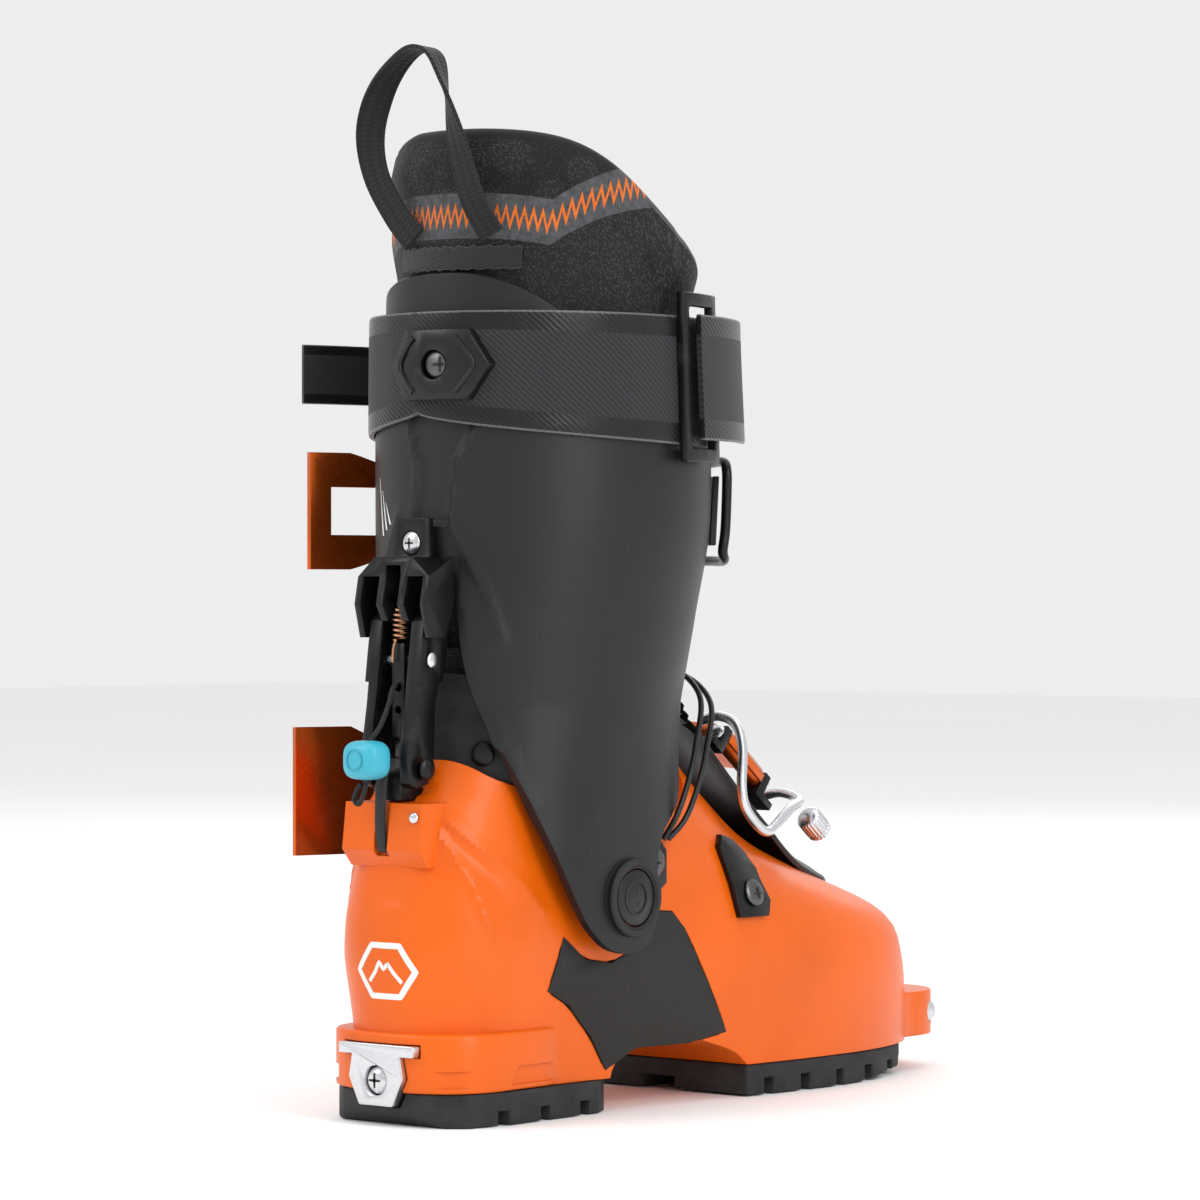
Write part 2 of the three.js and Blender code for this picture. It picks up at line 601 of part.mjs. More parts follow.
// A piece of band between two angles (degrees from the rear, medial side positive).
function bandPiece(fromDegrees, toDegrees, low, high, inner, outer, steps = 8) {
  const rings = spread(fromDegrees, toDegrees, steps).map((degrees) => {
    const turn = THREE.MathUtils.degToRad(degrees);
    return [cuffPoint(low, turn, inner), cuffPoint(low, turn, outer), cuffPoint(high, turn, outer),
      cuffPoint(high, turn, inner)];
  });
  return skin(rings);
}

function strapPlate() {
  const { x, z } = STRAP_SCREW;
  const face = [[-20, 0], [-13, 12.5], [13, 12.5], [20, 0], [13, -12.5], [-13, -12.5]].map(([a, b]) => [x + a, z + b]);
  const slab = toSolid(plateXZ(face, 10, 40));
  const behind = cuffTube([240, 270, 310], 20, GAP + STRAP_THICKNESS + GAP);
  const outer = cuffTube([240, 270, 310], GAP + STRAP_THICKNESS + 3.6, GAP);
  return cut(slab.intersect(behind).intersect(outer), toSolid(pin([x, 0, z], [x, 40, z], 5.4, 20)));
}

function strapRing() {
  const outer = bandPiece(94, 116, 238, 300, 3.1, 6.3, 4);
  const window = bandPiece(97.5, 112.5, 243, 295, -2, 12, 4);
  return cut(toSolid(outer), toSolid(window));
}

// The strap's end, folded back through the ring and standing off more and more from the cuff.
function foldedEnd() {
  const rings = spread(100, 136, 8).map((degrees) => {
    const turn = THREE.MathUtils.degToRad(degrees);
    const inner = 6.8 + 4.2 * ((degrees - 100) / 36) ** 1.5;
    return [cuffPoint(246, turn, inner), cuffPoint(246, turn, inner + 2.4), cuffPoint(292, turn, inner + 2.4),
      cuffPoint(292, turn, inner)];
  });
  return skin(rings);
}

function freeTail() {
  const points = [[-64.5, 76], [-67.8, 55], [-73, 38], [-74.8, 38.6], [-70, 55.8], [-66.6, 76.6]];
  return plateXY(points, 261, 283);
}

// ---- Lock bracket on the cuff and lock bar on the heel ----
function lockBracket() {
  const foot = plateXZ([[-7, 217], [7, 217], [9, 200], [-9, 200]], 17.5, 21.4);
  const bridge = plateXZ([[-9, 203], [9, 203], [17.2, 196], [17.2, 188], [-17.2, 188], [-17.2, 196]], 8, 21.4);
  const ear = (x0, x1, tip) => toSolid(plateYZ([[8, 196], [21.4, 203], [21.4, 186], [17, tip], [9, tip], [6, 186]], x0, x1));
  const screwHole = pin([0, 10, 208], [0, 30, 208], 4.6, 20);
  const armRoom = [block(ARM_INNER - 0.5, ARM_OUTER + 1.4, 0, 30, 160, 196), block(-ARM_OUTER - 1.4, -ARM_INNER + 0.5, 0, 30, 160, 196)];
  const middleRoom = block(-3.6, 3.6, 0, 30, 160, 200);
  const body = join(toSolid(foot), toSolid(bridge), ear(14.6, 17.2, 174), ear(-17.2, -14.6, 174), ear(3.6, 6.6, 180),
    ear(-6.6, -3.6, 180));
  return cut(body, toSolid(screwHole), ...armRoom.map(toSolid), toSolid(middleRoom));
}

const ARM_OUTLINE = [[4, 122], [8, 120], [14, 121.5], [17, 127], [18, 150], [22, 168], [23, 180], [20, BAR_TOP],
  [14, BAR_TOP], [10, 180], [8, 166], [6, 150], [3, 132]];

function lockArm(side) {
  const x0 = side > 0 ? ARM_INNER : -ARM_OUTER;
  const x1 = side > 0 ? ARM_OUTER : -ARM_INNER;
  const hole = pin([-20, BAR.y, BAR.z], [20, BAR.y, BAR.z], 2.6, 20);
  const rivetHole = pin([-20, 14, 166], [20, 14, 166], 2.2, 16);
  const thin = side > 0 ? block(11.4, 15, 0, 30, 100, 158) : block(-15, -11.4, 0, 30, 100, 158);
  return cut(toSolid(plateYZ(ARM_OUTLINE, x0, x1)), toSolid(hole), toSolid(rivetHole), toSolid(thin));
}

function crossPin(at, reach, radius, headRadius, headHeight) {
  const shank = pin([-reach, at.y, at.z], [reach, at.y, at.z], radius, 16);
  const heads = [1, -1].map((side) => domedHead([side * reach, at.y, at.z], [side, 0, 0], headRadius, headHeight));
  return join(toSolid(shank), ...heads.map(toSolid));
}

function lockLink() {
  const body = plateXZ([[-3, 138], [3, 138], [3, 172], [-3, 172]], 10.5, 17);
  const holes = [[148, 1.5], [156, 1.5]].map(([z, r]) => pin([0, 0, z], [0, 30, z], r, 12));
  const rivetHole = pin([-20, 14, 166], [20, 14, 166], 2.2, 16);
  return cut(toSolid(body), ...holes.map(toSolid), toSolid(rivetHole));
}

function lockAnchor() {
  const body = plateYZ([[5, 115.8], [17, 115.8], [17, 121], [15, 131], [8, 131], [5, 124]], -6.2, 6.2);
  return cut(toSolid(body), toSolid(pin([-20, BAR.y, BAR.z], [20, BAR.y, BAR.z], 2.5, 20)));
}

// ---- Buckles ----
// A lever that lies along the lateral side: hinge at the front, free end standing off at the rear.
function sideLever(hingeX, hingeY, rearY, low, high, flare) {
  const length = hingeY - rearY;
  const outside = [[hingeX + 2.2, hingeY + 2], [hingeX - 0.4, hingeY + 3.1], [hingeX - 2.6, hingeY + 1.8],
    [hingeX - 4, hingeY - 4], [hingeX - 6, hingeY - length * 0.35],
    [hingeX - 9, hingeY - length * 0.7], [hingeX - flare, rearY], [hingeX - flare + 2.2, rearY - 0.6],
    [hingeX - 6.4, hingeY - length * 0.7], [hingeX - 3.4, hingeY - length * 0.35], [hingeX + 0.4, hingeY - 6],
    [hingeX + 2, hingeY - 4]];
  return toSolid(plateXY(outside, low, high));
}

const CUFF_HINGE = { x: -62.6, y: 111.5, low: 205, high: 237 };
const INSTEP_HINGE = { x: -51.5, y: 147, low: 90.5, high: 111.5 };

function leverHole(hinge) {
  return toSolid(pin([hinge.x, hinge.y, hinge.low - 20], [hinge.x, hinge.y, hinge.high + 20], 1.9, 16));
}

function cuffLever() {
  const window = block(-90, -58, 52, 74, 212, 230);
  const taper = plateYZ([[60, 190], [130, 190], [130, 209], [96, 209], [60, 199]], -100, -40);
  const taperTop = plateYZ([[60, 250], [130, 250], [130, 233], [96, 233], [60, 243]], -100, -40);
  return cut(sideLever(-62, 112, 44, 199, 243, 15), toSolid(window), toSolid(taper), toSolid(taperTop),
    leverHole(CUFF_HINGE));
}

function cuffBuckleBase() {
  const plate = bandPiece(-93, -117, 203, 239, 1.5, 3.1, 5);
  const low = block(-65.4, -56.4, 106, 117, 205, 208.6);
  const high = block(-65.4, -57.4, 106, 117, 233.4, 237);
  return cut(join(toSolid(plate), toSolid(low), toSolid(high)), leverHole(CUFF_HINGE));
}

function instepLever() {
  const taper = plateYZ([[62, 80], [160, 80], [160, 94.5], [124, 94.5], [62, 96]], -100, -40);
  const taperTop = plateYZ([[56, 150], [160, 150], [160, 107.5], [124, 107.5], [56, 140]], -100, -40);
  const outside = [[-49.2, 149], [-51.6, 150.3], [-53.8, 149], [-56.6, 136], [-59, 112], [-62, 76], [-75, 34], [-72.9, 33.4],
    [-59.4, 76], [-56.2, 112], [-53.8, 134], [-50.6, 141], [-49.4, 143]];
  return cut(toSolid(plateXY(outside, 92, 140)), toSolid(taper), toSolid(taperTop), leverHole(INSTEP_HINGE));
}

function instepBuckleBase() {
  const body = block(-47.6, -30, 141.5, 153, 92, 110);
  const low = block(-54, -44, 142.6, 152, 90.5, 94.1);
  const high = block(-54, -44, 142.6, 152, 107.9, 111.5);
  return cut(join(toSolid(body), toSolid(low), toSolid(high)), footSolid(0.4), leverHole(INSTEP_HINGE));
}

function hingePin(hinge) {
  return pin([hinge.x, hinge.y, hinge.low + 0.4], [hinge.x, hinge.y, hinge.high - 0.4], 1.5, 16);
}

// The wire that reaches from the cuff lever round the shin to the catch.
function cuffBale() {
  const strand = (z) => spread(-112, -214, 8).map((degrees) => {
    const p = cuffPoint(z, THREE.MathUtils.degToRad(degrees), 6.6);
    return [p.x, p.y, p.z];
  });
  const upper = [[-64.6, 101, 235.4], [-66, 104.6, 238.6], ...strand(239.6)];
  const lower = [[-64.6, 101, 206.6], [-66, 104.6, 203.4], ...strand(202.4)];
  const turn = THREE.MathUtils.degToRad(-219);
  const end = [236, 228, 214, 206].map((z) => cuffPoint(z, turn, 6.6)).map((p) => [p.x, p.y, p.z]);
  return wireLoop([...upper, ...end, ...lower.reverse()], 52);
}

function wireLoop(points, steps) {
  return tube(points, WIRE_RADIUS, steps, 6);
}

function buildForefootBuckle() {
  const frame = new THREE.Group();
  frame.position.set(0, RIDGE.y, RIDGE.z);
  frame.rotation.x = THREE.MathUtils.degToRad(RIDGE.tiltDegrees);
  boot.add(frame);
  const plate = cut(toSolid(block(-15, 22, -20, 24, 4.4, 7.4)), toSolid(block(10.6, 23, -13.2, 13.2, 0, 9)));
  const base = join(plate, toSolid(block(13, 22, -17, -13.2, 5, 15)),
    toSolid(block(13, 22, 13.2, 17, 5, 15)));
  const hingeHole = toSolid(pin([18, -30, 11.4], [18, 30, 11.4], 2.3, 16));
  addPiece('forefoot_buckle_base', toGeometry(cut(base, hingeHole)), BLACK_METAL, frame);
  const lever = plateXZ([[19.6, 10], [19.6, 13], [15, 15.4], [-6, 17], [-24, 12], [-36, 3], [-38, 4.6], [-25, 15],
    [-7, 20], [12, 18.8], [19, 16.6], [22, 13.4], [22, 10]].reverse(), -12.8, 12.8);
  const knuckle = pin([18, -12.8, 11.4], [18, 12.8, 11.4], 3.6, 16);
  const leverBody = cut(join(toSolid(lever), toSolid(knuckle), toSolid(block(14, 20, -12.8, 12.8, 11, 15.6))),
    hingeHole, toSolid(block(-20, -4, -6, 6, 0, 30)));
  addPiece('forefoot_lever', toGeometry(leverBody), ORANGE_METAL, frame);
  addPiece('forefoot_lever_pin', toGeometry(join(toSolid(pin([18, -17.2, 11.4], [18, 17.2, 11.4], 2, 16)),
    toSolid(domedHead([18, -17.2, 11.4], [0, -1, 0], 3.8, 1.6)),
    toSolid(domedHead([18, 17.2, 11.4], [0, 1, 0], 3.8, 1.6)))), STEEL, frame);
  const bale = wireLoop([[12, -22, 13], [20, -22.4, 15.5], [30, -22, 12], [37, -20, 2], [42, -17, -13], [43.6, -12, -19],
    [44, -4, -20.5], [43.6, 4, -19], [42, 9, -13], [37, 18, 2], [31, 27, 12], [20, 27.4, 15.5], [12, 27, 13]], 40);
  addPiece('forefoot_bale', bale, STEEL, frame);
  const knob = new THREE.CylinderGeometry(5.2, 5.2, 11, 20).translate(34, 37, 8);
  addPiece('adjusting_knob', knob, STEEL, frame);
}

// ---- Small parts ----
const LOOP_POINTS = [[-8, 28, 318.4], [-16, 26.5, 328], [-23, 23.5, 343], [-23.5, 21.5, 359], [-16, 21, 375],
  [-3, 21.5, 386], [7, 22, 384], [11.5, 23, 371], [15.5, 25, 352], [20, 28, 332], [25, 33.4, 318.6]];
const LOOP_WIDTH = 11;
const LOOP_THICKNESS = 1.6;

// The webbing faces rearward at its two ends and turns edge-on over the top.
function pullLoop() {
  const path = new THREE.CatmullRomCurve3(LOOP_POINTS.map((p) => new THREE.Vector3(...p)));
  const rearward = new THREE.Vector3(0, 1, 0);
  const rings = spread(0, 1, 22).map((t) => {
    const at = path.getPointAt(t);
    const along = path.getTangentAt(t);
    const inPlane = new THREE.Vector3().crossVectors(rearward, along).normalize();
    const twist = 0.5 * Math.PI * Math.sin(Math.PI * t) ** 4;
    const wide = inPlane.multiplyScalar(Math.cos(twist)).addScaledVector(rearward, Math.sin(twist));
    const thick = new THREE.Vector3().crossVectors(along, wide).normalize();
    return [[-1, -1], [1, -1], [1, 1], [-1, 1]].map(([w, h]) => at.clone()
      .addScaledVector(wide, w * LOOP_WIDTH / 2).addScaledVector(thick, h * LOOP_THICKNESS / 2));
  });
  return skin(rings);
}

const SPRING = { y: 12, top: 184, bottom: 173, radius: 2.5, wire: 0.45, turns: 6, stepsPerTurn: 7 };

// A coil with a straight tail down to the link's rivet.
function returnSpring() {
  const points = [];
  const steps = SPRING.turns * SPRING.stepsPerTurn;
  for (let i = 0; i <= steps; i++) {
    const turn = 2 * Math.PI * i / SPRING.stepsPerTurn;
    const z = SPRING.top - (SPRING.top - SPRING.bottom) * i / steps;
    points.push([SPRING.radius * Math.sin(turn), SPRING.y - SPRING.radius * Math.cos(turn), z]);
  }
  points.push([-0.6, 9.2, 171.4], [-1, 8.9, 168], [-1, 8.9, 165]);
  return tube(points, SPRING.wire, steps + 6, 5);
}

const CORD_POINTS = [[0, 9.6, 157], [0, 7.6, 155.4], [0.2, 5.4, 150], [0.8, 0.4, 142.5], [1, -4.6, 137.6],
  [1, -6.8, 133], [1, -7, 128], [1, -7, 123.4], [0, -7.2, 119], [-2.4, -7.3, 114.8], [-4.8, -7.3, 116.2],
  [-3.6, -7.3, 119.4], [-1.4, -7.3, 122]];
const CORD_RADIUS = 0.9;
const BEAD = { x: 1, y: -7, z: 130.5, halfX: 8.2, halfY: 6.3, halfZ: 7 };

function pullBead() {
  const ball = new THREE.SphereGeometry(1, 14, 9);
  const place = ball.attributes.position;
  for (let i = 0; i < place.count; i++) {
    const [x, y, z] = [place.getX(i), place.getY(i), place.getZ(i)];
    const round = (v) => Math.sign(v) * Math.abs(v) ** 0.72;
    place.setXYZ(i, BEAD.x + BEAD.halfX * round(x), BEAD.y + BEAD.halfY * round(y), BEAD.z + BEAD.halfZ * round(z));
  }
  const bore = pin([BEAD.x, BEAD.y + 0.2, BEAD.z - 9], [BEAD.x, BEAD.y + 0.2, BEAD.z - 1], 1.6, 12);
  const top = pin([BEAD.x, BEAD.y + 0.4, BEAD.z - 2], [BEAD.x, BEAD.y + 3, BEAD.z + 9], 2.2, 12);
  return cut(toSolid(ball), toSolid(bore), toSolid(top));
}

function heelTether() {
  return plateYZ([[2, 128], [0.6, 118], [0.4, 108], [1.6, 98], [3, 97], [2, 108], [2.2, 118], [3.6, 128]], -2.1, 2.1);
}

// Outward direction of the cuff sections at an angle from the rear.
function outward(z, turn) {
  const step = 0.01;
  const ahead = cuffPoint(z, turn + step, 0).sub(cuffPoint(z, turn - step, 0));
  return new THREE.Vector3(ahead.y, -ahead.x, 0).normalize();
}

function gaiterRivet(side) {
  const turn = side * 0.46;
  const at = cuffPoint(132, turn, -CUFF_WALL - 3);
  return domedHead([at.x, at.y, at.z], outward(132, turn).toArray(), 4.4, 1.2, 20);
}

const CABLE_ROUTE = [[42.8, 110, 99], [45.6, 115.4, 107], [45.2, 123, 119], [42, 132, 133], [33, 145.5, 150],
  [14, 153.5, 160], [-6, 155, 160.5], [-24, 151, 152], [-35, 148, 137], [-39.6, 147.5, 121], [-39.6, 147, 112.4]];

// Two cables in black sleeves from the medial anchor over the tongue to the instep buckle.
function instepCable(shift) {
  const points = CABLE_ROUTE.map(([x, y, z], i) => {
    const part = Math.sin(Math.PI * i / (CABLE_ROUTE.length - 1)) ** 0.5;
    return [x, y + shift * (0.75 * part + 0.6), z - shift * part * 0.55];
  });
  return tube(points, 1.1, 26, 8);
}

function cableAnchor() {
  const plate = plateYZ([[98, 82], [105, 78], [112, 83], [112, 95], [106, 101], [98, 99]], 38, 41.8);
  return cut(toSolid(plate), footSolid(0.4));
}

function forefootAnchor() {
  const plate = plateYZ([[150, 68], [166, 68], [168, 74], [164, 92], [158, 97], [150, 99], [145, 95], [147, 84]], 30, 54);
  const shape = footSolid(3).intersect(toSolid(plate));
  return cut(shape, footSolid(0.4));
}

// ---- Assembly: pieces fixed to the shell ----
function buildShell() {
  addPiece('outsole_heel', toGeometry(heelSole()), RUBBER);
  addPiece('outsole_front', toGeometry(frontSole()), RUBBER);
  addPiece('lower_shell', toGeometry(lowerShell()), ORANGE);
  addPiece('core_panel_medial', toGeometry(corePanel(1)), PANEL_PLASTIC);
  addPiece('core_panel_lateral', toGeometry(corePanel(-1)), PANEL_PLASTIC);
  addPiece('heel_insert', toGeometry(heelInsert()), STEEL);
  addPiece('heel_insert_screw', domedHead([0, 1.5, 16], [0, -1, 0], 5, 3.4, 20), STEEL);
  addPiece('boot_board', toGeometry(bootBoard()), BLACK_PLASTIC);
  addPiece('liner_foot', toGeometry(linerFoot()), LINER_FABRIC);
  addPiece('tongue', toGeometry(tongue()), BLACK_PLASTIC);
  addPiece('ankle_gaiter', toGeometry(ankleGaiter()), RUBBER);
  for (const [side, word] of [[1, 'medial'], [-1, 'lateral']]) {
    addPiece(`ankle_pivot_${word}`, toGeometry(pivotDisc(side)), BLACK_PLASTIC);
    addPiece(`gaiter_rivet_${word}`, gaiterRivet(side), BLACK_METAL);
  }
  addPiece('toe_insert', toeInsert(), STEEL);
  addPiece('heel_rivet', domedHead([15.6, 2, 110], [0.2, -1, 0], 2, 1.1, 12), STEEL);
  addPiece('heel_tether', heelTether(), RUBBER);
  addPiece('lock_anchor', toGeometry(lockAnchor()), BLACK_METAL);
  addPiece('lock_bar_pin', toGeometry(crossPin(BAR, 13.5, 2.2, 4, 1.6)), STEEL);
  addPiece('cable_anchor', toGeometry(cableAnchor()), BLACK_PLASTIC);
  addPiece('cable_anchor_screw', domedHead([42.1, 104.5, 90.5], [1, 0, 0], 5.5, 1.5, 20), BLACK_METAL);
  addPiece('instep_cable_rear', instepCable(-2.2), BLACK_PLASTIC);
  addPiece('instep_cable_front', instepCable(2.6), BLACK_PLASTIC);
  addPiece('forefoot_anchor', toGeometry(forefootAnchor()), BLACK_METAL);
  addPiece('forefoot_anchor_screw', domedHead([46.4, 158.4, 77], [1, 0, 0.31], 5.2, 1.6, 20), BLACK_METAL);
  addPiece('instep_buckle_base', toGeometry(instepBuckleBase()), BLACK_METAL);
  addPiece('instep_lever_pin', hingePin(INSTEP_HINGE), STEEL);
}

function buildCuff() {
  addPiece('cuff_shell', toGeometry(cuffShell()), GREY_PLASTIC);
  addPiece('cuff_spoiler', toGeometry(spoiler()), GREY_PLASTIC);
  addPiece('liner_cuff', toGeometry(linerCuff()), LINER_FABRIC);
  addPiece('liner_tongue', toGeometry(linerTongue()), LINER_FABRIC);
  addPiece('power_strap', toGeometry(strapBand()), WEBBING);
  addPiece('strap_plate', toGeometry(strapPlate()), BLACK_PLASTIC);
  addPiece('strap_screw', domedHead([STRAP_SCREW.x, 20.1, STRAP_SCREW.z], [0, -1, 0], 5, 2, 20), BLACK_METAL);
  addPiece('strap_ring', toGeometry(strapRing()), BLACK_METAL);
  addPiece('strap_fold', foldedEnd(), WEBBING);
  addPiece('strap_tail', freeTail(), WEBBING);
  addPiece('lock_bracket', toGeometry(lockBracket()), BLACK_METAL);
  addPiece('lock_bracket_screw', domedHead([0, 18.2, 208], [0, -1, 0], 4.2, 1.8, 20), STEEL);
  addPiece('loop_patch', bandPiece(-17, 38, 306.4, 315, -CUFF_WALL - 2, -CUFF_WALL, 8), WEBBING);
  addPiece('pull_loop', pullLoop(), WEBBING);
  addPiece('cuff_buckle_base', toGeometry(cuffBuckleBase()), BLACK_METAL);
  addPiece('cuff_lever_pin', hingePin(CUFF_HINGE), STEEL);
  addPiece('cuff_catch', bandPiece(137, 150, 208, 234, 0.9, 3.2, 4), BLACK_METAL);
  addPiece('cuff_lever', toGeometry(cuffLever()), ORANGE_METAL);
  addPiece('cuff_bale', cuffBale(), STEEL);
}

function buildLockBar() {
  addPiece('lock_arm_medial', toGeometry(lockArm(1)), BLACK_METAL);
  addPiece('lock_arm_lateral', toGeometry(lockArm(-1)), BLACK_METAL);
  addPiece('lock_link', toGeometry(lockLink()), BLACK_METAL);
  addPiece('lock_link_rivet', toGeometry(crossPin({ y: 14, z: 166 }, 13.4, 1.9, 3, 1)), STEEL);
  addPiece('return_spring', returnSpring(), SPRING_STEEL);
  addPiece('pull_cord', tube(CORD_POINTS, CORD_RADIUS, 30, 8), WEBBING);
  addPiece('pull_bead', toGeometry(pullBead()), BEAD_BLUE);
}

buildShell();
buildCuff();
buildLockBar();
addPiece('instep_lever', toGeometry(instepLever()), ORANGE_METAL);
buildForefootBuckle();


// ---- Origin: middle of the bounding box at floor level, measured without the cord and its bead ----
boot.updateMatrixWorld(true);
const extent = new THREE.Box3();
boot.traverse((piece) => {
  if (piece.isMesh && !['pull_cord', 'pull_bead'].includes(piece.name)) {
    extent.expandByObject(piece, true);
  }
});
boot.position.set(-(extent.min.x + extent.max.x) / 2, -(extent.min.y + extent.max.y) / 2, -extent.min.z);

export default boot;
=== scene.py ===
# Alpine touring ski boot: looks, soft goods, floor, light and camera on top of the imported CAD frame.
import math

import bmesh
import bpy
import numpy as np
from mathutils import Matrix, Vector

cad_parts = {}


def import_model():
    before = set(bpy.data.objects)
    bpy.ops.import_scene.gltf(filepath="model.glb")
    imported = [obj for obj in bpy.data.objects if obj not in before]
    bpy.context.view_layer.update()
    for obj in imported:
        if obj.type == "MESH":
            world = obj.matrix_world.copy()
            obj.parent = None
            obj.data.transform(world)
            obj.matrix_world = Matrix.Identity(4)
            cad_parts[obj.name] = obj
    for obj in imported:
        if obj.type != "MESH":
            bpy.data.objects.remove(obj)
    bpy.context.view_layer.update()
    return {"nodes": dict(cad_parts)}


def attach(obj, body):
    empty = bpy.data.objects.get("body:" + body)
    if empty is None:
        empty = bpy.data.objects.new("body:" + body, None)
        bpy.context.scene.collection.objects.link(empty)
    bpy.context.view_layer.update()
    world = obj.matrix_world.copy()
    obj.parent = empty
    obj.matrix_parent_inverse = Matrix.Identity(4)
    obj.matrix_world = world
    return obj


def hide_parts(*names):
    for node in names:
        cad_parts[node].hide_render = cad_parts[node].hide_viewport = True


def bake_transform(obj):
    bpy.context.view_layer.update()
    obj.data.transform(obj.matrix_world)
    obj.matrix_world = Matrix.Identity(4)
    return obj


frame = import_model()

MM = 0.001
TAU = 2 * math.pi
# Lengths below are millimetres in the heel frame (Y = 0 rearmost point of the heel, X = 0 its middle plane);
# ORIGIN moves them into the row frame.
ORIGIN = np.array([5.3693, -151.55, 0.0])
CUFF_WALL = 3.2
SHELL_WALL = 4.0
RIDGE_Y, RIDGE_Z, RIDGE_TILT = 178.0, 117.0, math.radians(-38)
PIVOT_Y, PIVOT_Z = 84.0, 79.0
LEAN_BACK, LEAN_FORWARD = -8.0, 10.0
HEEL_LENGTH, HEEL_POWER = 40, 0.86     # the round rear part of a foot section
BEYOND = 80                            # half length of a cutter that passes right through the boot


def world(points):
    return (np.asarray(points, float) + ORIGIN) * MM


def world_point(x, y, z):
    return Vector(world([x, y, z]))


def ridge(x, y, z):
    """A point of the forefoot buckle's tilted frame, in the heel frame."""
    c, s = math.cos(RIDGE_TILT), math.sin(RIDGE_TILT)
    return [x, RIDGE_Y + y * c - z * s, RIDGE_Z + y * s + z * c]


# ---------------------------------------------------------------- materials
def node(tree, kind, inputs=None, **settings):
    made = tree.nodes.new(kind)
    for key, value in settings.items():
        setattr(made, key, value)
    for key, value in (inputs or {}).items():
        socket = made.inputs[key]
        if isinstance(value, bpy.types.NodeSocket):
            tree.links.new(value, socket)
        else:
            socket.default_value = value
    return made


def rgba(color, shade=1.0):
    return tuple(min(1.0, c * shade) for c in color[:3]) + (1.0,)


def math_node(tree, operation, a, b=0.0):
    return node(tree, "ShaderNodeMath", {0: a, 1: b}, operation=operation).outputs[0]


def ramp(tree, factor, stops):
    made = node(tree, "ShaderNodeValToRGB", {"Fac": factor})
    elements = made.color_ramp.elements
    while len(elements) < len(stops):
        elements.new(0.5)
    for element, (place, color) in zip(elements, stops):
        element.position = place
        element.color = color if len(color) == 4 else tuple(color) + (1.0,)
    return made.outputs["Color"]


def grey_ramp(tree, factor, stops):
    return ramp(tree, factor, [(place, (v, v, v, 1.0)) for place, v in stops])


def mixed(tree, factor, a, b):
    made = node(tree, "ShaderNodeMix", data_type="RGBA")
    for index, value in ((0, factor), (6, a), (7, b)):
        if isinstance(value, bpy.types.NodeSocket):
            tree.links.new(value, made.inputs[index])
        else:
            made.inputs[index].default_value = value
    return made.outputs[2]


def object_place(tree):
    return node(tree, "ShaderNodeTexCoord").outputs["Object"]


def uv_place(tree):
    return node(tree, "ShaderNodeTexCoord").outputs["UV"]


def noise(tree, place, scale, detail=4.0, rough=0.55):
    return node(tree, "ShaderNodeTexNoise",
                {"Vector": place, "Scale": scale, "Detail": detail, "Roughness": rough}).outputs["Fac"]


def cells(tree, place, scale, output="Distance"):
    return node(tree, "ShaderNodeTexVoronoi", {"Vector": place, "Scale": scale}).outputs[output]


def stretched(tree, place, scale, turn=(0, 0, 0)):
    inputs = {"Vector": place, "Scale": scale, "Rotation": turn}
    return node(tree, "ShaderNodeMapping", inputs).outputs["Vector"]


def new_material(name, metallic=0.0, coat=0.0, sheen=0.0, specular=0.5):
    material = bpy.data.materials.new(name)
    material.use_nodes = True
    tree = material.node_tree
    shader = tree.nodes["Principled BSDF"]
    shader.inputs["Metallic"].default_value = metallic
    shader.inputs["Coat Weight"].default_value = coat
    shader.inputs["Coat Roughness"].default_value = 0.25
    shader.inputs["Sheen Weight"].default_value = sheen
    shader.inputs["Specular IOR Level"].default_value = specular
    return material, tree, shader


def finish_surface(tree, shader, color, rough, height, distance, edge=0.0):
    tree.links.new(color, shader.inputs["Base Color"])
    tree.links.new(rough, shader.inputs["Roughness"])
    inputs = {"Height": height, "Distance": distance, "Strength": 0.8}
    if edge:
        inputs["Normal"] = node(tree, "ShaderNodeBevel", {"Radius": edge}, samples=4).outputs["Normal"]
    tree.links.new(node(tree, "ShaderNodeBump", inputs).outputs["Normal"], shader.inputs["Normal"])


def moulded(name, color, rough, grain=900.0, depth=0.00005, coat=0.0, edge=0.0006, wear=0.12, specular=0.5):
    """Injection-moulded plastic: mottled colour, fine grain, faint scuffs."""
    material, tree, shader = new_material(name, coat=coat, specular=specular)
    place = object_place(tree)
    broad = noise(tree, place, 18.0, 3.0)
    fine = noise(tree, place, grain, 2.0)
    streaks = noise(tree, stretched(tree, place, (1, 1, 0.18)), 240.0, 6.0, 0.7)
    scuff = grey_ramp(tree, streaks, [(0.6, 0.0), (0.72, 1.0)])
    tint = ramp(tree, broad, [(0.3, rgba(color, 0.9)), (0.7, rgba(color, 1.08))])
    pale = rgba([c * 0.6 + 0.25 for c in color])
    color_out = mixed(tree, math_node(tree, "MULTIPLY", scuff, wear), tint, pale)
    rough_out = math_node(tree, "ADD", math_node(tree, "MULTIPLY", broad, 0.14), rough - 0.07)
    rough_out = math_node(tree, "ADD", rough_out, math_node(tree, "MULTIPLY", scuff, 0.1))
    finish_surface(tree, shader, color_out, rough_out, fine, depth, edge)
    return material


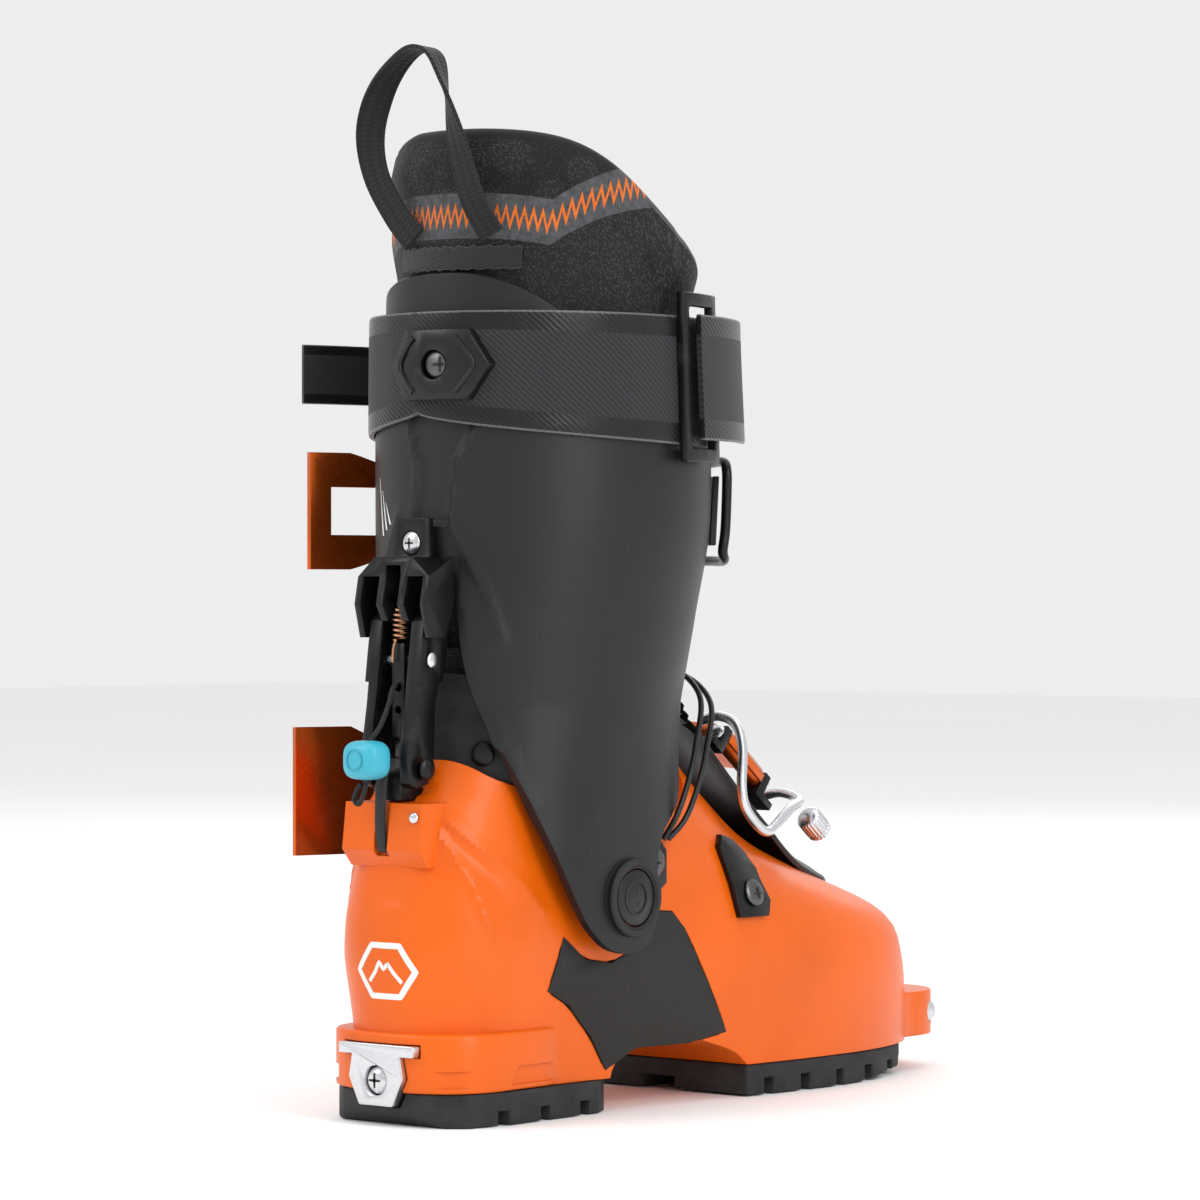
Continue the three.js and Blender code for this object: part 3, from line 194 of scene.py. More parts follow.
def metal(name, color, rough, grain=(40, 40, 900), depth=0.00002, edge=0.0005, metallic=1.0, wear=0.1):
    """Machined metal with fine lines and brighter scuffs."""
    material, tree, shader = new_material(name, metallic=metallic)
    place = object_place(tree)
    lines = noise(tree, stretched(tree, place, grain), 10.0, 3.0)
    blotch = noise(tree, place, 60.0, 4.0)
    tint = ramp(tree, lines, [(0.25, rgba(color, 0.86)), (0.75, rgba(color, 1.12))])
    worn = grey_ramp(tree, blotch, [(0.62, 0.0), (0.74, 1.0)])
    pale = rgba([c * 0.5 + 0.35 for c in color])
    color_out = mixed(tree, math_node(tree, "MULTIPLY", worn, wear), tint, pale)
    rough_out = math_node(tree, "ADD", math_node(tree, "MULTIPLY", blotch, 0.22), rough - 0.11)
    finish_surface(tree, shader, color_out, rough_out, lines, depth, edge)
    return material


def rubber(name, color=(0.012, 0.012, 0.0125), dots=0.0):
    material, tree, shader = new_material(name, specular=0.35)
    place = object_place(tree)
    dust = noise(tree, place, 90.0, 6.0, 0.7)
    color_out = ramp(tree, dust, [(0.35, rgba(color)), (0.7, rgba([c + 0.018 for c in color]))])
    rough_out = math_node(tree, "ADD", math_node(tree, "MULTIPLY", dust, 0.25), 0.55)
    height = noise(tree, place, 700.0, 2.0)
    if dots:
        knobs = grey_ramp(tree, cells(tree, place, dots), [(0.18, 1.0), (0.3, 0.0)])
        height = math_node(tree, "ADD", math_node(tree, "MULTIPLY", height, 0.2), knobs)
    finish_surface(tree, shader, color_out, rough_out, height, 0.0002 if dots else 0.00006, 0.0006)
    return material


def webbing(name, color, across=520.0, along=900.0, sheen=0.08):
    """Woven tape: ribs across, threads along, a little fuzz."""
    material, tree, shader = new_material(name, sheen=sheen, specular=0.3)
    place = uv_place(tree)
    inputs = {"Vector": place, "Scale": along / 6.3, "Distortion": 0.6, "Detail": 1.0}
    ribs = node(tree, "ShaderNodeTexWave", inputs, wave_type="BANDS", bands_direction="X").outputs["Fac"]
    threads = node(tree, "ShaderNodeTexWave", {"Vector": place, "Scale": across / 6.3, "Distortion": 0.8},
                   wave_type="BANDS", bands_direction="Y").outputs["Fac"]
    weave = math_node(tree, "MULTIPLY", ribs, threads)
    fuzz = noise(tree, place, 2500.0, 3.0)
    color_out = ramp(tree, math_node(tree, "ADD", weave, math_node(tree, "MULTIPLY", fuzz, 0.3)),
                     [(0.1, rgba(color, 0.45)), (0.8, rgba(color, 1.35))])
    rough_out = math_node(tree, "ADD", math_node(tree, "MULTIPLY", fuzz, 0.2), 0.62)
    finish_surface(tree, shader, color_out, rough_out, weave, 0.0003)
    return material


# ---------------------------------------------------------------- sections of the foot and the cuff
FOOT_LEVELS = [
    (12, 3, 293, 33, 47), (33, 3, 291, 33, 49), (45, 2, 289, 34.5, 49.5), (58, 1, 284, 36.5, 48.5),
    (66, 1.5, 273, 37, 46.5), (74, 2.5, 252, 37, 44), (84, 4, 222, 35.5, 41.5), (96, 6, 192, 33.5, 40),
    (110, 8, 172, 32, 37), (124, 18, 156, 31, 33), (140, 27, 142, 31, 30)]
CUFF_LEVELS = [
    (50, 84, 48.3, 56), (100, 82, 48.3, 58), (128, 82, 48.8, 60), (150, 84, 50.5, 62), (180, 87, 54, 65),
    (220, 91, 58, 68), (300, 90, 57, 66.5), (380, 96, 57, 66)]


def level_at(levels, z):
    """Smooth reading of a short list of levels, each (z, value, value, ...)."""
    last = len(levels) - 1
    height = min(max(z, levels[0][0]), levels[last][0])
    i = 0
    while i < last - 1 and height > levels[i + 1][0]:
        i += 1
    a, b = levels[i], levels[i + 1]
    before, after = levels[max(i - 1, 0)], levels[min(i + 2, last)]
    span = b[0] - a[0]
    t = (height - a[0]) / span
    out = []
    for k in range(1, len(a)):
        slope_a = (b[k] - before[k]) / (b[0] - before[0]) * span
        slope_b = (after[k] - a[k]) / (after[0] - a[0]) * span
        out.append((2 * t**3 - 3 * t**2 + 1) * a[k] + (t**3 - 2 * t**2 + t) * slope_a
                   + (3 * t**2 - 2 * t**3) * b[k] + (t**3 - t**2) * slope_b)
    return out


def blunt(turn, power):
    c, s = math.cos(turn), math.sin(turn)
    return math.copysign(abs(c) ** power, c), math.copysign(abs(s) ** power, s)


def foot_ring(z, offset, at=None, steps=(28, 16, 40)):
    """One horizontal section of the foot, from the lateral heel round the heel, toe and back."""
    rear, front, heel, ball = level_at(FOOT_LEVELS, z if at is None else at)
    heel_steps, side_steps, toe_steps = steps
    half_heel, half_ball, heel_end = heel + offset, ball + offset, rear + HEEL_LENGTH
    toe_round = min(84, (front - rear) * 0.42)
    toe_start = front - toe_round
    ring = []
    for i in range(heel_steps + 1):
        c, s = blunt(math.pi * (i / heel_steps - 0.5), HEEL_POWER)
        ring.append((half_heel * s, heel_end - (HEEL_LENGTH + offset) * c, z))
    sides = []
    for k in range(1, side_steps + 1):
        t = k / (side_steps + 1)
        half = half_heel + (half_ball - half_heel) * t * t * (3 - 2 * t)
        sides.append((half, heel_end + (toe_start - heel_end) * t))
    ring += [(x, y, z) for x, y in sides]
    for i in range(toe_steps + 1):
        c, s = blunt(math.pi * (0.5 - i / toe_steps), 0.9)
        ring.append((half_ball * s, toe_start + (toe_round + offset) * c, z))
    ring += [(-x, y, z) for x, y in reversed(sides)]
    return np.array(ring)


def cuff_point(z, turn, offset):
    middle, half_width, half_length = level_at(CUFF_LEVELS, z)
    square = min(max((150 - z) / 60, 0), 1)
    c, s = blunt(turn, 1 - 0.32 * square)
    return [(half_width + offset) * s, middle - (half_length + offset) * c, z]


def cuff_ring(z, offset, points=176):
    return np.array([cuff_point(z, TAU * i / points, offset) for i in range(points)])


# ---------------------------------------------------------------- mesh building
def smoothed(mesh, degrees=38):
    mesh.polygons.foreach_set("use_smooth", [True] * len(mesh.polygons))
    mesh.set_sharp_from_angle(angle=math.radians(degrees))


def mesh_object(name, verts, faces, material=None, uvs=None):
    mesh = bpy.data.meshes.new(name)
    mesh.from_pydata([tuple(v) for v in np.asarray(verts, float)], [], faces)
    if uvs is not None:
        layer = mesh.uv_layers.new(name="UVMap")
        uvs = np.asarray(uvs, float)
        index = np.zeros(len(mesh.loops), int)
        mesh.loops.foreach_get("vertex_index", index)
        layer.data.foreach_set("uv", uvs[index].ravel())
    mesh.validate()
    made = bpy.data.objects.new(name, mesh)
    bpy.context.scene.collection.objects.link(made)
    if material is not None:
        mesh.materials.append(material)
    bm = bmesh.new()
    bm.from_mesh(mesh)
    bmesh.ops.recalc_face_normals(bm, faces=bm.faces)
    bm.to_mesh(mesh)
    bm.free()
    smoothed(mesh)
    return made


def ring_yz(x, radius, sides):
    """A circle round the ankle pivot's axis, at one x."""
    turns = [TAU * i / sides for i in range(sides)]
    return [[x, PIVOT_Y + radius * math.sin(t), PIVOT_Z + radius * math.cos(t)] for t in turns]


def loft(name, rings, material=None, wraps=True, ends="cap", uv=None):
    """A skin over rows of points (heel frame): rows closed round or open, ends capped, open or joined."""
    rings = np.asarray(rings, float)
    rows, count, _ = rings.shape
    faces = []
    last = rows if ends == "join" else rows - 1
    span = count if wraps else count - 1
    for r in range(last):
        n = (r + 1) % rows
        for i in range(span):
            j = (i + 1) % count
            faces.append((r * count + i, r * count + j, n * count + j, n * count + i))
    if ends == "cap":
        faces.append(tuple(range(count))[::-1])
        faces.append(tuple((rows - 1) * count + i for i in range(count)))
    if uv is None:
        along = np.concatenate([[0], np.cumsum(np.linalg.norm(np.diff(rings[:, 0], axis=0), axis=1))])
        round_ = np.concatenate([[0], np.cumsum(np.linalg.norm(np.diff(rings[rows // 2], axis=0), axis=1))])
        uv = np.stack(np.broadcast_arrays(round_[None, :], along[:, None]), -1) * MM
    return mesh_object(name, world(rings.reshape(-1, 3)), faces, material, np.asarray(uv).reshape(-1, 2))


def prism(plane, outline, low, high):
    """A plain cutter: an outline in one plane, given thickness along the third axis (heel frame)."""
    place = {"yz": lambda a, b, t: (t, a, b),
             "xz": lambda a, b, t: (a, t, b),
             "xy": lambda a, b, t: (a, b, t)}[plane]
    verts = [place(a, b, low) for a, b in outline] + [place(a, b, high) for a, b in outline]
    n = len(outline)
    faces = [tuple(range(n)), tuple(range(2 * n - 1, n - 1, -1))]
    faces += [(i, (i + 1) % n, n + (i + 1) % n, n + i) for i in range(n)]
    return mesh_object("cutter", world(verts), faces)


def box_cutter(x0, x1, y0, y1, z0, z1):
    return prism("xy", [(x0, y0), (x1, y0), (x1, y1), (x0, y1)], z0, z1)


def rod(a, b, radius, sides=48, name="cutter", material=None):
    """A round bar between two points of the heel frame."""
    a, b = np.array(a, float), np.array(b, float)
    along = (b - a) / np.linalg.norm(b - a)
    side = np.cross(along, [0, 0, 1.0]) if abs(along[2]) < 0.9 else np.cross(along, [1.0, 0, 0])
    side /= np.linalg.norm(side)
    other = np.cross(along, side)
    turns = [TAU * i / sides for i in range(sides)]
    rings = [[p + radius * (math.cos(t) * side + math.sin(t) * other) for t in turns] for p in (a, b)]
    return loft(name, rings, material)


def pivot_rod(reach, radius, sides=48):
    return rod([-reach, PIVOT_Y, PIVOT_Z], [reach, PIVOT_Y, PIVOT_Z], radius, sides)


def lean(piece, degrees):
    """Turns a cutter about the ankle pivot, as the cuff leans."""
    pivot = world_point(0, PIVOT_Y, PIVOT_Z)
    turn = Matrix.Rotation(-math.radians(degrees), 4, "X")
    piece.data.transform(Matrix.Translation(pivot) @ turn @ Matrix.Translation(-pivot))
    return piece


def softened(outline, times=3, keep=()):
    """Corner cutting: the outline with its corners drawn round, except the ones kept sharp."""
    points = [(tuple(p), i in keep) for i, p in enumerate(outline)]
    for _ in range(times):
        cut = []
        for (p, sharp), (q, _) in zip(points, points[1:] + points[:1]):
            if sharp:
                cut.append((p, True))
            else:
                cut.append((tuple(0.8 * a + 0.2 * b for a, b in zip(p, q)), False))
            cut.append((tuple(0.2 * a + 0.8 * b for a, b in zip(p, q)), False))
        points = cut
    return [p for p, _ in points]


def carve(piece, cutter, operation="DIFFERENCE"):
    modifier = piece.modifiers.new("carve", "BOOLEAN")
    modifier.operation = operation
    modifier.solver = "EXACT"
    modifier.object = cutter
    bpy.context.view_layer.update()
    result = bpy.data.meshes.new_from_object(piece.evaluated_get(bpy.context.evaluated_depsgraph_get()))
    piece.modifiers.clear()
    piece.data = result
    bpy.data.objects.remove(cutter)
    return piece


def catmull(points, steps, closed=False):
    points = np.asarray(points, float)
    n = len(points)
    out = []
    spans = n if closed else n - 1
    for i in range(spans):
        pick = [points[(i + k) % n] if closed else points[min(max(i + k, 0), n - 1)] for k in (-1, 0, 1, 2)]
        p0, p1, p2, p3 = pick
        for j in range(steps):
            t = j / steps
            out.append(0.5 * (2 * p1 + (p2 - p0) * t + (2 * p0 - 5 * p1 + 4 * p2 - p3) * t**2
                              + (3 * p1 - p0 - 3 * p2 + p3) * t**3))
    if not closed:
        out.append(points[-1])
    return np.array(out)


def wire(name, points, radius, material, steps=8, sides=6):
    """A round wire along a smooth line (heel frame), as a curve."""
    line = world(catmull(points, steps))
    curve = bpy.data.curves.new(name, "CURVE")
    curve.dimensions = "3D"
    curve.bevel_depth = radius * MM
    curve.bevel_resolution = sides
    curve.use_fill_caps = True
    spline = curve.splines.new("POLY")
    spline.points.add(len(line) - 1)
    spline.points.foreach_set("co", np.hstack([line, np.ones((len(line), 1))]).ravel())
    spline.use_smooth = True
    curve.materials.append(material)
    made = bpy.data.objects.new(name, curve)
    bpy.context.scene.collection.objects.link(made)
    return made


def tube(name, points, radius, material, steps=8, sides=16):
    """A round tube along a smooth line (heel frame), as a mesh."""
    line = catmull(points, steps)
    way = np.gradient(line, axis=0)
    way /= np.linalg.norm(way, axis=1)[:, None]
    side = np.cross(way[0], [1.0, 0, 0])
    rings = []
    for at, along in zip(line, way):
        side = side - along * (side @ along)
        side /= np.linalg.norm(side)
        other = np.cross(along, side)
        rings.append([at + radius * (math.cos(TAU * k / sides) * side + math.sin(TAU * k / sides) * other)
                      for k in range(sides)])
    return loft(name, rings, material)


def fit(piece, body, slot, *nodes):
    """The piece rides on a body and stands for CAD nodes, which are hidden; slot is not used."""
    if body:
        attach(piece, body)
    if nodes:
        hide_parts(*nodes)
    return piece


def eased(value, low, high):
    t = np.clip((value - low) / (high - low), 0, 1)
    return t * t * (3 - 2 * t)


def near_line(a, b, line):
    """Distance of points (a, b) from a polyline in that plane."""
    best = np.full(np.shape(a), 1e9)
    for (x0, y0), (x1, y1) in zip(line, line[1:]):
        dx, dy = x1 - x0, y1 - y0
        t = np.clip(((a - x0) * dx + (b - y0) * dy) / (dx * dx + dy * dy), 0, 1)
        best = np.minimum(best, np.hypot(a - x0 - t * dx, b - y0 - t * dy))
    return best


def hill(distance, width):
    """1 at no distance, falling away in a bell over about the width."""
    return np.exp(-(distance / width) ** 2)


def swell(points, outward_from, height):
    """Moves points away from an upright axis through outward_from (x, y) by height millimetres."""
    flat = points[:, :2] - np.asarray(outward_from)
    flat /= np.linalg.norm(flat, axis=1)[:, None]
    points = points.copy()
    points[:, :2] += flat * np.asarray(height)[:, None]
    return points


# ---------------------------------------------------------------- the finishes
ORANGE = moulded("orange_shell", (0.70, 0.108, 0.001), 0.34,
                 grain=1300, depth=0.00002, coat=0.06, wear=0.03, specular=0.28)
CUFF_GREY = moulded("charcoal_cuff", (0.0075, 0.0082, 0.0095), 0.42,
                    grain=2200, depth=0.00006, wear=0.03, specular=0.36)
PANEL_GREY = moulded("charcoal_panel", (0.013, 0.0125, 0.0115), 0.58,
                     grain=1500, depth=0.0001, wear=0.06, specular=0.35)
BLACK_PLASTIC = moulded("black_plastic", (0.004, 0.004, 0.0045), 0.32,
                        grain=1800, depth=0.00003, wear=0.03, specular=0.4)
RUBBER = rubber("black_rubber")
DOTTED_RUBBER = rubber("dotted_rubber", dots=420.0)
STEEL = metal("bright_steel", (0.66, 0.67, 0.69), 0.26)
DARK_STEEL = metal("dark_steel", (0.12, 0.12, 0.125), 0.33)
BLACK_METAL = metal("black_anodised", (0.008, 0.008, 0.009), 0.34, metallic=0.5, wear=0.06)
ORANGE_METAL = metal("orange_anodised", (0.62, 0.11, 0.012), 0.28, metallic=0.85, wear=0.05)
SPRING_STEEL = metal("copper_spring", (0.52, 0.27, 0.15), 0.30)
BEAD_BLUE = moulded("bead_blue", (0.035, 0.38, 0.50), 0.4, grain=1500, wear=0.2)
LOOP_WEB = webbing("loop_webbing", (0.008, 0.008, 0.009), along=1100.0)
CORD_WEB = webbing("cord_braid", (0.02, 0.02, 0.022), across=1800.0, along=1800.0)
PATCH = webbing("hook_patch", (0.008, 0.008, 0.009), across=2200.0, along=2300.0, sheen=0.25)


def liner_material():
    """Coarse mesh with a taped rim and a translucent band with a zigzag seam."""
    material, tree, shader = new_material("liner_mesh", sheen=0.12, specular=0.22)
    uv = node(tree, "ShaderNodeSeparateXYZ", {"Vector": uv_place(tree)})
    across, below = uv.outputs["X"], uv.outputs["Y"]
    place = uv_place(tree)
    holes = cells(tree, stretched(tree, place, (1, 1.25, 1)), 800.0)
    hexes = grey_ramp(tree, holes, [(0.2, 1.0), (0.5, 0.0)])
    weave = noise(tree, place, 2600.0, 2.0)
    fabric = ramp(tree, hexes, [(0.0, (0.003, 0.003, 0.0035, 1)), (1.0, (0.040, 0.041, 0.044, 1))])
    glint = ramp(tree, weave, [(0.3, (0.004, 0.004, 0.004, 1)), (0.75, (0.05, 0.05, 0.052, 1))])
    fabric = mixed(tree, 0.3, fabric, glint)
    # large hexagons pressed into the upper panel, drawn only as darker outlines: painted shade in their
    # grooves
    hexagon = cells(tree, stretched(tree, place, (1, 0.9, 1)), 95.0)
    painted_groove_shade = grey_ramp(tree, hexagon, [(0.45, 0.0), (0.62, 0.6)])
    upper = math_node(tree, "LESS_THAN", below, 0.024)
    fabric = mixed(tree, math_node(tree, "MULTIPLY", painted_groove_shade, upper), fabric, (0.002, 0.002, 0.002, 1))
    # the rim tape
    tape = math_node(tree, "LESS_THAN", below, 0.004)
    color = mixed(tree, tape, fabric, (0.006, 0.006, 0.007, 1))
    # the translucent band dips at the rear and climbs to the rim on both sides
    side = math_node(tree, "ABSOLUTE", across)
    inputs = {"Value": side, "From Min": 0.050, "From Max": 0.092, "To Min": 0.032, "To Max": -0.004}
    middle = node(tree, "ShaderNodeMapRange", inputs).outputs["Result"]
    from_middle = math_node(tree, "SUBTRACT", below, middle)
    band = math_node(tree, "LESS_THAN", math_node(tree, "ABSOLUTE", from_middle), 0.0082)
    veil = ramp(tree, noise(tree, place, 300.0, 3.0),
                [(0.3, (0.045, 0.047, 0.05, 1)), (0.7, (0.10, 0.103, 0.11, 1))])
    color = mixed(tree, math_node(tree, "MULTIPLY", band, 0.8), color, veil)
    # the zigzag seam along the band, one stitch every 3.6 mm
    phase = math_node(tree, "PINGPONG", math_node(tree, "MULTIPLY", across, 1.0 / 0.0036), 0.5)
    wave = math_node(tree, "MULTIPLY", math_node(tree, "SUBTRACT", phase, 0.25), 0.013)
    offset = math_node(tree, "ABSOLUTE", math_node(tree, "SUBTRACT", from_middle, wave))
    stitch = math_node(tree, "MULTIPLY", math_node(tree, "LESS_THAN", offset, 0.0017), band)
    color = mixed(tree, stitch, color, (0.62, 0.13, 0.012, 1))
    rough_out = math_node(tree, "ADD", math_node(tree, "MULTIPLY", weave, 0.15), 0.68)
    off_tape = math_node(tree, "MULTIPLY", hexes, math_node(tree, "SUBTRACT", 1.0, tape))
    height = math_node(tree, "ADD", off_tape,
                       math_node(tree, "MULTIPLY", stitch, 1.5))
    finish_surface(tree, shader, color, rough_out, height, 0.00035)
    return material


def strap_material():
    """Power strap: matt woven middle, glossy bound edges, light frayed rims. UV y runs over its width."""
    material, tree, shader = new_material("power_strap", sheen=0.08, specular=0.3)
    place = uv_place(tree)
    uv = node(tree, "ShaderNodeSeparateXYZ", {"Vector": place})
    height_share = uv.outputs["Y"]
    from_edge = math_node(tree, "MINIMUM", height_share, math_node(tree, "SUBTRACT", 1.0, height_share))
    along = stretched(tree, place, (1, 0.047, 1))
    inputs = {"Vector": along, "Scale": 260.0, "Distortion": 1.2, "Detail": 2.0}
    wave = node(tree, "ShaderNodeTexWave", inputs, wave_type="BANDS", bands_direction="DIAGONAL")
    threads = wave.outputs["Fac"]
    fuzz = noise(tree, stretched(tree, place, (1, 0.047, 1)), 1900.0, 4.0)
    body = ramp(tree, math_node(tree, "ADD", threads, math_node(tree, "MULTIPLY", fuzz, 0.5)),
                [(0.2, (0.009, 0.0095, 0.0105, 1)), (1.2, (0.024, 0.025, 0.028, 1))])
    edge = math_node(tree, "LESS_THAN", from_edge, 0.16)
    color = mixed(tree, edge, body, (0.004, 0.004, 0.0045, 1))
    ragged = math_node(tree, "LESS_THAN", from_edge, math_node(tree, "MULTIPLY", fuzz, 0.022))
    color = mixed(tree, math_node(tree, "MULTIPLY", ragged, 0.6), color, (0.16, 0.155, 0.15, 1))
    rough_out = math_node(tree, "SUBTRACT", 0.72, math_node(tree, "MULTIPLY", edge, 0.42))
    finish_surface(tree, shader, color, rough_out, math_node(tree, "ADD", threads, fuzz), 0.00012)
    return material


LINER = liner_material()
STRAP = strap_material()

# ---------------------------------------------------------------- camera, light and floor
CAMERA_TURN = math.radians(40)
camera_data = bpy.data.cameras.new("camera")
camera_data.sensor_width = 36.0
camera_data.lens = 134.4
camera_data.clip_end = 20.0
camera = bpy.data.objects.new("camera", camera_data)
camera.location = world_point(1089.2, -1174.7, 187.5)
camera.rotation_euler = (math.pi / 2, 0.0, CAMERA_TURN)
bpy.context.scene.collection.objects.link(camera)
bpy.context.scene.camera = camera


def area_light(name, place, target, size, power, color=(1, 1, 1)):
    data = bpy.data.lights.new(name, "AREA")
    data.shape = "RECTANGLE"
    data.size, data.size_y = size
    data.energy = power
    data.color = color
    light = bpy.data.objects.new(name, data)
    light.location = place
    light.rotation_euler = (Vector(target) - Vector(place)).to_track_quat("-Z", "Y").to_euler()
    bpy.context.scene.collection.objects.link(light)


area_light("key", (-0.9, -1.5, 1.5), (0, 0, 0.18), (1.0, 1.2), 15)
area_light("right", (1.9, -0.4, 1.1), (0, 0, 0.15), (0.7, 1.6), 20)
area_light("top", (0.1, -0.1, 1.9), (0, 0, 0), (1.4, 1.4), 8)
area_light("back", (-0.8, 1.7, 1.2), (0, 0, 0.2), (1.4, 1.0), 6)
scene_world = bpy.data.worlds.new("studio")
scene_world.use_nodes = True
scene_world.node_tree.nodes["Background"].inputs["Color"].default_value = (1.0, 1.0, 1.0, 1.0)
scene_world.node_tree.nodes["Background"].inputs["Strength"].default_value = 0.85
bpy.context.scene.world = scene_world
bpy.context.scene.view_settings.view_transform = "Standard"

floor_material, floor_tree, floor_shader = new_material("pale_floor")
finish_surface(floor_tree, floor_shader,
               ramp(floor_tree, noise(floor_tree, object_place(floor_tree), 3.0),
                    [(0.3, (0.93, 0.93, 0.93, 1)), (0.7, (0.95, 0.95, 0.95, 1))]),
               grey_ramp(floor_tree, noise(floor_tree, object_place(floor_tree), 30.0),
                         [(0.0, 0.75), (1.0, 0.85)]),
               noise(floor_tree, object_place(floor_tree), 200.0), 0.00002)
FLOOR_HALF, FLOOR_Z = 6, -0.0004
floor_corners = [(FLOOR_HALF * a, FLOOR_HALF * b, FLOOR_Z) for a, b in ((-1, -1), (1, -1), (1, 1), (-1, 1))]
floor = mesh_object("floor", floor_corners, [(0, 1, 2, 3)], floor_material)

# ---------------------------------------------------------------- CAD nodes that stay, with bevelled edges
KEPT = {
    "heel_insert": (STEEL, 0.5), "heel_insert_screw": (STEEL, 0.4), "toe_insert": (STEEL, 0.4),
    "heel_rivet": (STEEL, 0.2), "lock_bar_pin": (BLACK_METAL, 0.3), "lock_link_rivet": (STEEL, 0.25),
    "instep_lever_pin": (STEEL, 0.2), "cuff_lever_pin": (STEEL, 0.2), "forefoot_lever_pin": (STEEL, 0.3),
    "lock_bracket": (BLACK_METAL, 0.6), "lock_arm_medial": (BLACK_METAL, 0.6),
    "lock_arm_lateral": (BLACK_METAL, 0.6), "lock_link": (BLACK_METAL, 0.4),
    "lock_anchor": (BLACK_METAL, 0.5),
    "lock_bracket_screw": (STEEL, 0.3), "strap_screw": (DARK_STEEL, 0.3), "strap_plate": (BLACK_PLASTIC, 0.7),
    "gaiter_rivet_medial": (BLACK_METAL, 0.3), "gaiter_rivet_lateral": (BLACK_METAL, 0.3),
    "cable_anchor": (BLACK_PLASTIC, 0.5), "cable_anchor_screw": (DARK_STEEL, 0.3),
    "forefoot_anchor": (BLACK_METAL, 0.5), "forefoot_anchor_screw": (DARK_STEEL, 0.3),
    "forefoot_buckle_base": (BLACK_METAL, 0.4), "instep_buckle_base": (BLACK_METAL, 0.5),
    "cuff_buckle_base": (BLACK_METAL, 0.4), "cuff_catch": (BLACK_METAL, 0.4),
    "cuff_lever": (ORANGE_METAL, 0.6), "instep_lever": (ORANGE_METAL, 0.6),
    "forefoot_lever": (ORANGE_METAL, 0.5), "strap_ring": (BLACK_METAL, 0.5),
    "boot_board": (BLACK_PLASTIC, 0.5), "outsole_heel": (RUBBER, 0.7), "outsole_front": (DOTTED_RUBBER, 0.7),
    "core_panel_medial": (PANEL_GREY, 0.4), "core_panel_lateral": (PANEL_GREY, 0.4),
    "ankle_pivot_medial": (BLACK_PLASTIC, 0.4), "ankle_pivot_lateral": (BLACK_PLASTIC, 0.4),
    "heel_tether": (RUBBER, 0.3)}


def dress(name, material, bevel):
    piece = frame["nodes"][name]
    piece.data.materials.clear()
    piece.data.materials.append(material)
    piece.data.polygons.foreach_set("use_smooth", [True] * len(piece.data.polygons))
    weld = piece.modifiers.new("weld", "WELD")
    weld.merge_threshold = 0.00001
    if bevel:
        soft = piece.modifiers.new("bevel", "BEVEL")
        soft.width = bevel * MM
        soft.segments = 2
        soft.limit_method = "ANGLE"
        soft.angle_limit = math.radians(32)
        soft.harden_normals = True


for kept_name, (kept_material, kept_bevel) in KEPT.items():
    dress(kept_name, kept_material, kept_bevel)


# ---------------------------------------------------------------- pull cord and bead on the lock bar
CORD_POINTS = [[0, 9.6, 157], [0, 7.6, 155.4], [0.2, 5.4, 150], [0.8, 0.4, 142.5], [1, -4.6, 137.6],
               [1, -6.8, 133], [1, -7, 128], [1, -7, 123.4], [0, -7.2, 119], [-2.4, -7.3, 114.8],
               [-4.8, -7.3, 116.2], [-3.6, -7.3, 119.4], [-1.4, -7.3, 122]]
BEAD_MIDDLE, BEAD_HALF = np.array([1, -7, 130.5]), np.array([8.2, 6.3, 7.0])


def make_cord():
    cord = wire("pull_cord_braid", CORD_POINTS, 0.9, CORD_WEB, 6, 4)
    bead = fit(make_bead(), "lock_bar", "bead_plastic", "pull_bead")
    fit(cord, "lock_bar", "webbing", "pull_cord")


def make_bead():
    """A rounded block with a bore, moulded in two halves, with a plain raised oval on its face."""
    rows, columns = 28, 40
    rings = []
    for r in range(1, rows):
        tilt = math.pi * (r / rows - 0.5)
        ring = []
        for i in range(columns):
            turn = TAU * i / columns
            c, s = blunt(turn, 0.62)
            cz, sz = blunt(tilt, 0.62)
            ring.append(BEAD_MIDDLE + BEAD_HALF * np.array([cz * s, cz * -c, sz]))
        rings.append(ring)
    bead = loft("bead", rings, BEAD_BLUE)
    carve(bead, rod([1, -6.8, 120], [1, -6.8, 129.5], 1.6))
    carve(bead, rod([1, -6.4, 128.5], [1, -3.8, 140], 2.0))
    carve(bead, ring_cutter(BEAD_MIDDLE + [0, -BEAD_HALF[1], 0], 4.0, 3.1, 0.5))
    smoothed(bead.data, 30)
    return bead


def ring_cutter(middle, outer, inner, depth, sides=40):
    """A flat ring facing rearward, for a groove or a raised emblem."""
    x, y, z = middle
    rings = []
    for radius, at in ((outer, y - depth), (outer, y + depth), (inner, y + depth), (inner, y - depth)):
        rings.append([[x + radius * math.sin(TAU * i / sides), at, z + radius * math.cos(TAU * i / sides)]
                      for i in range(sides)])
    return loft("cutter", rings, ends="join")


make_cord()

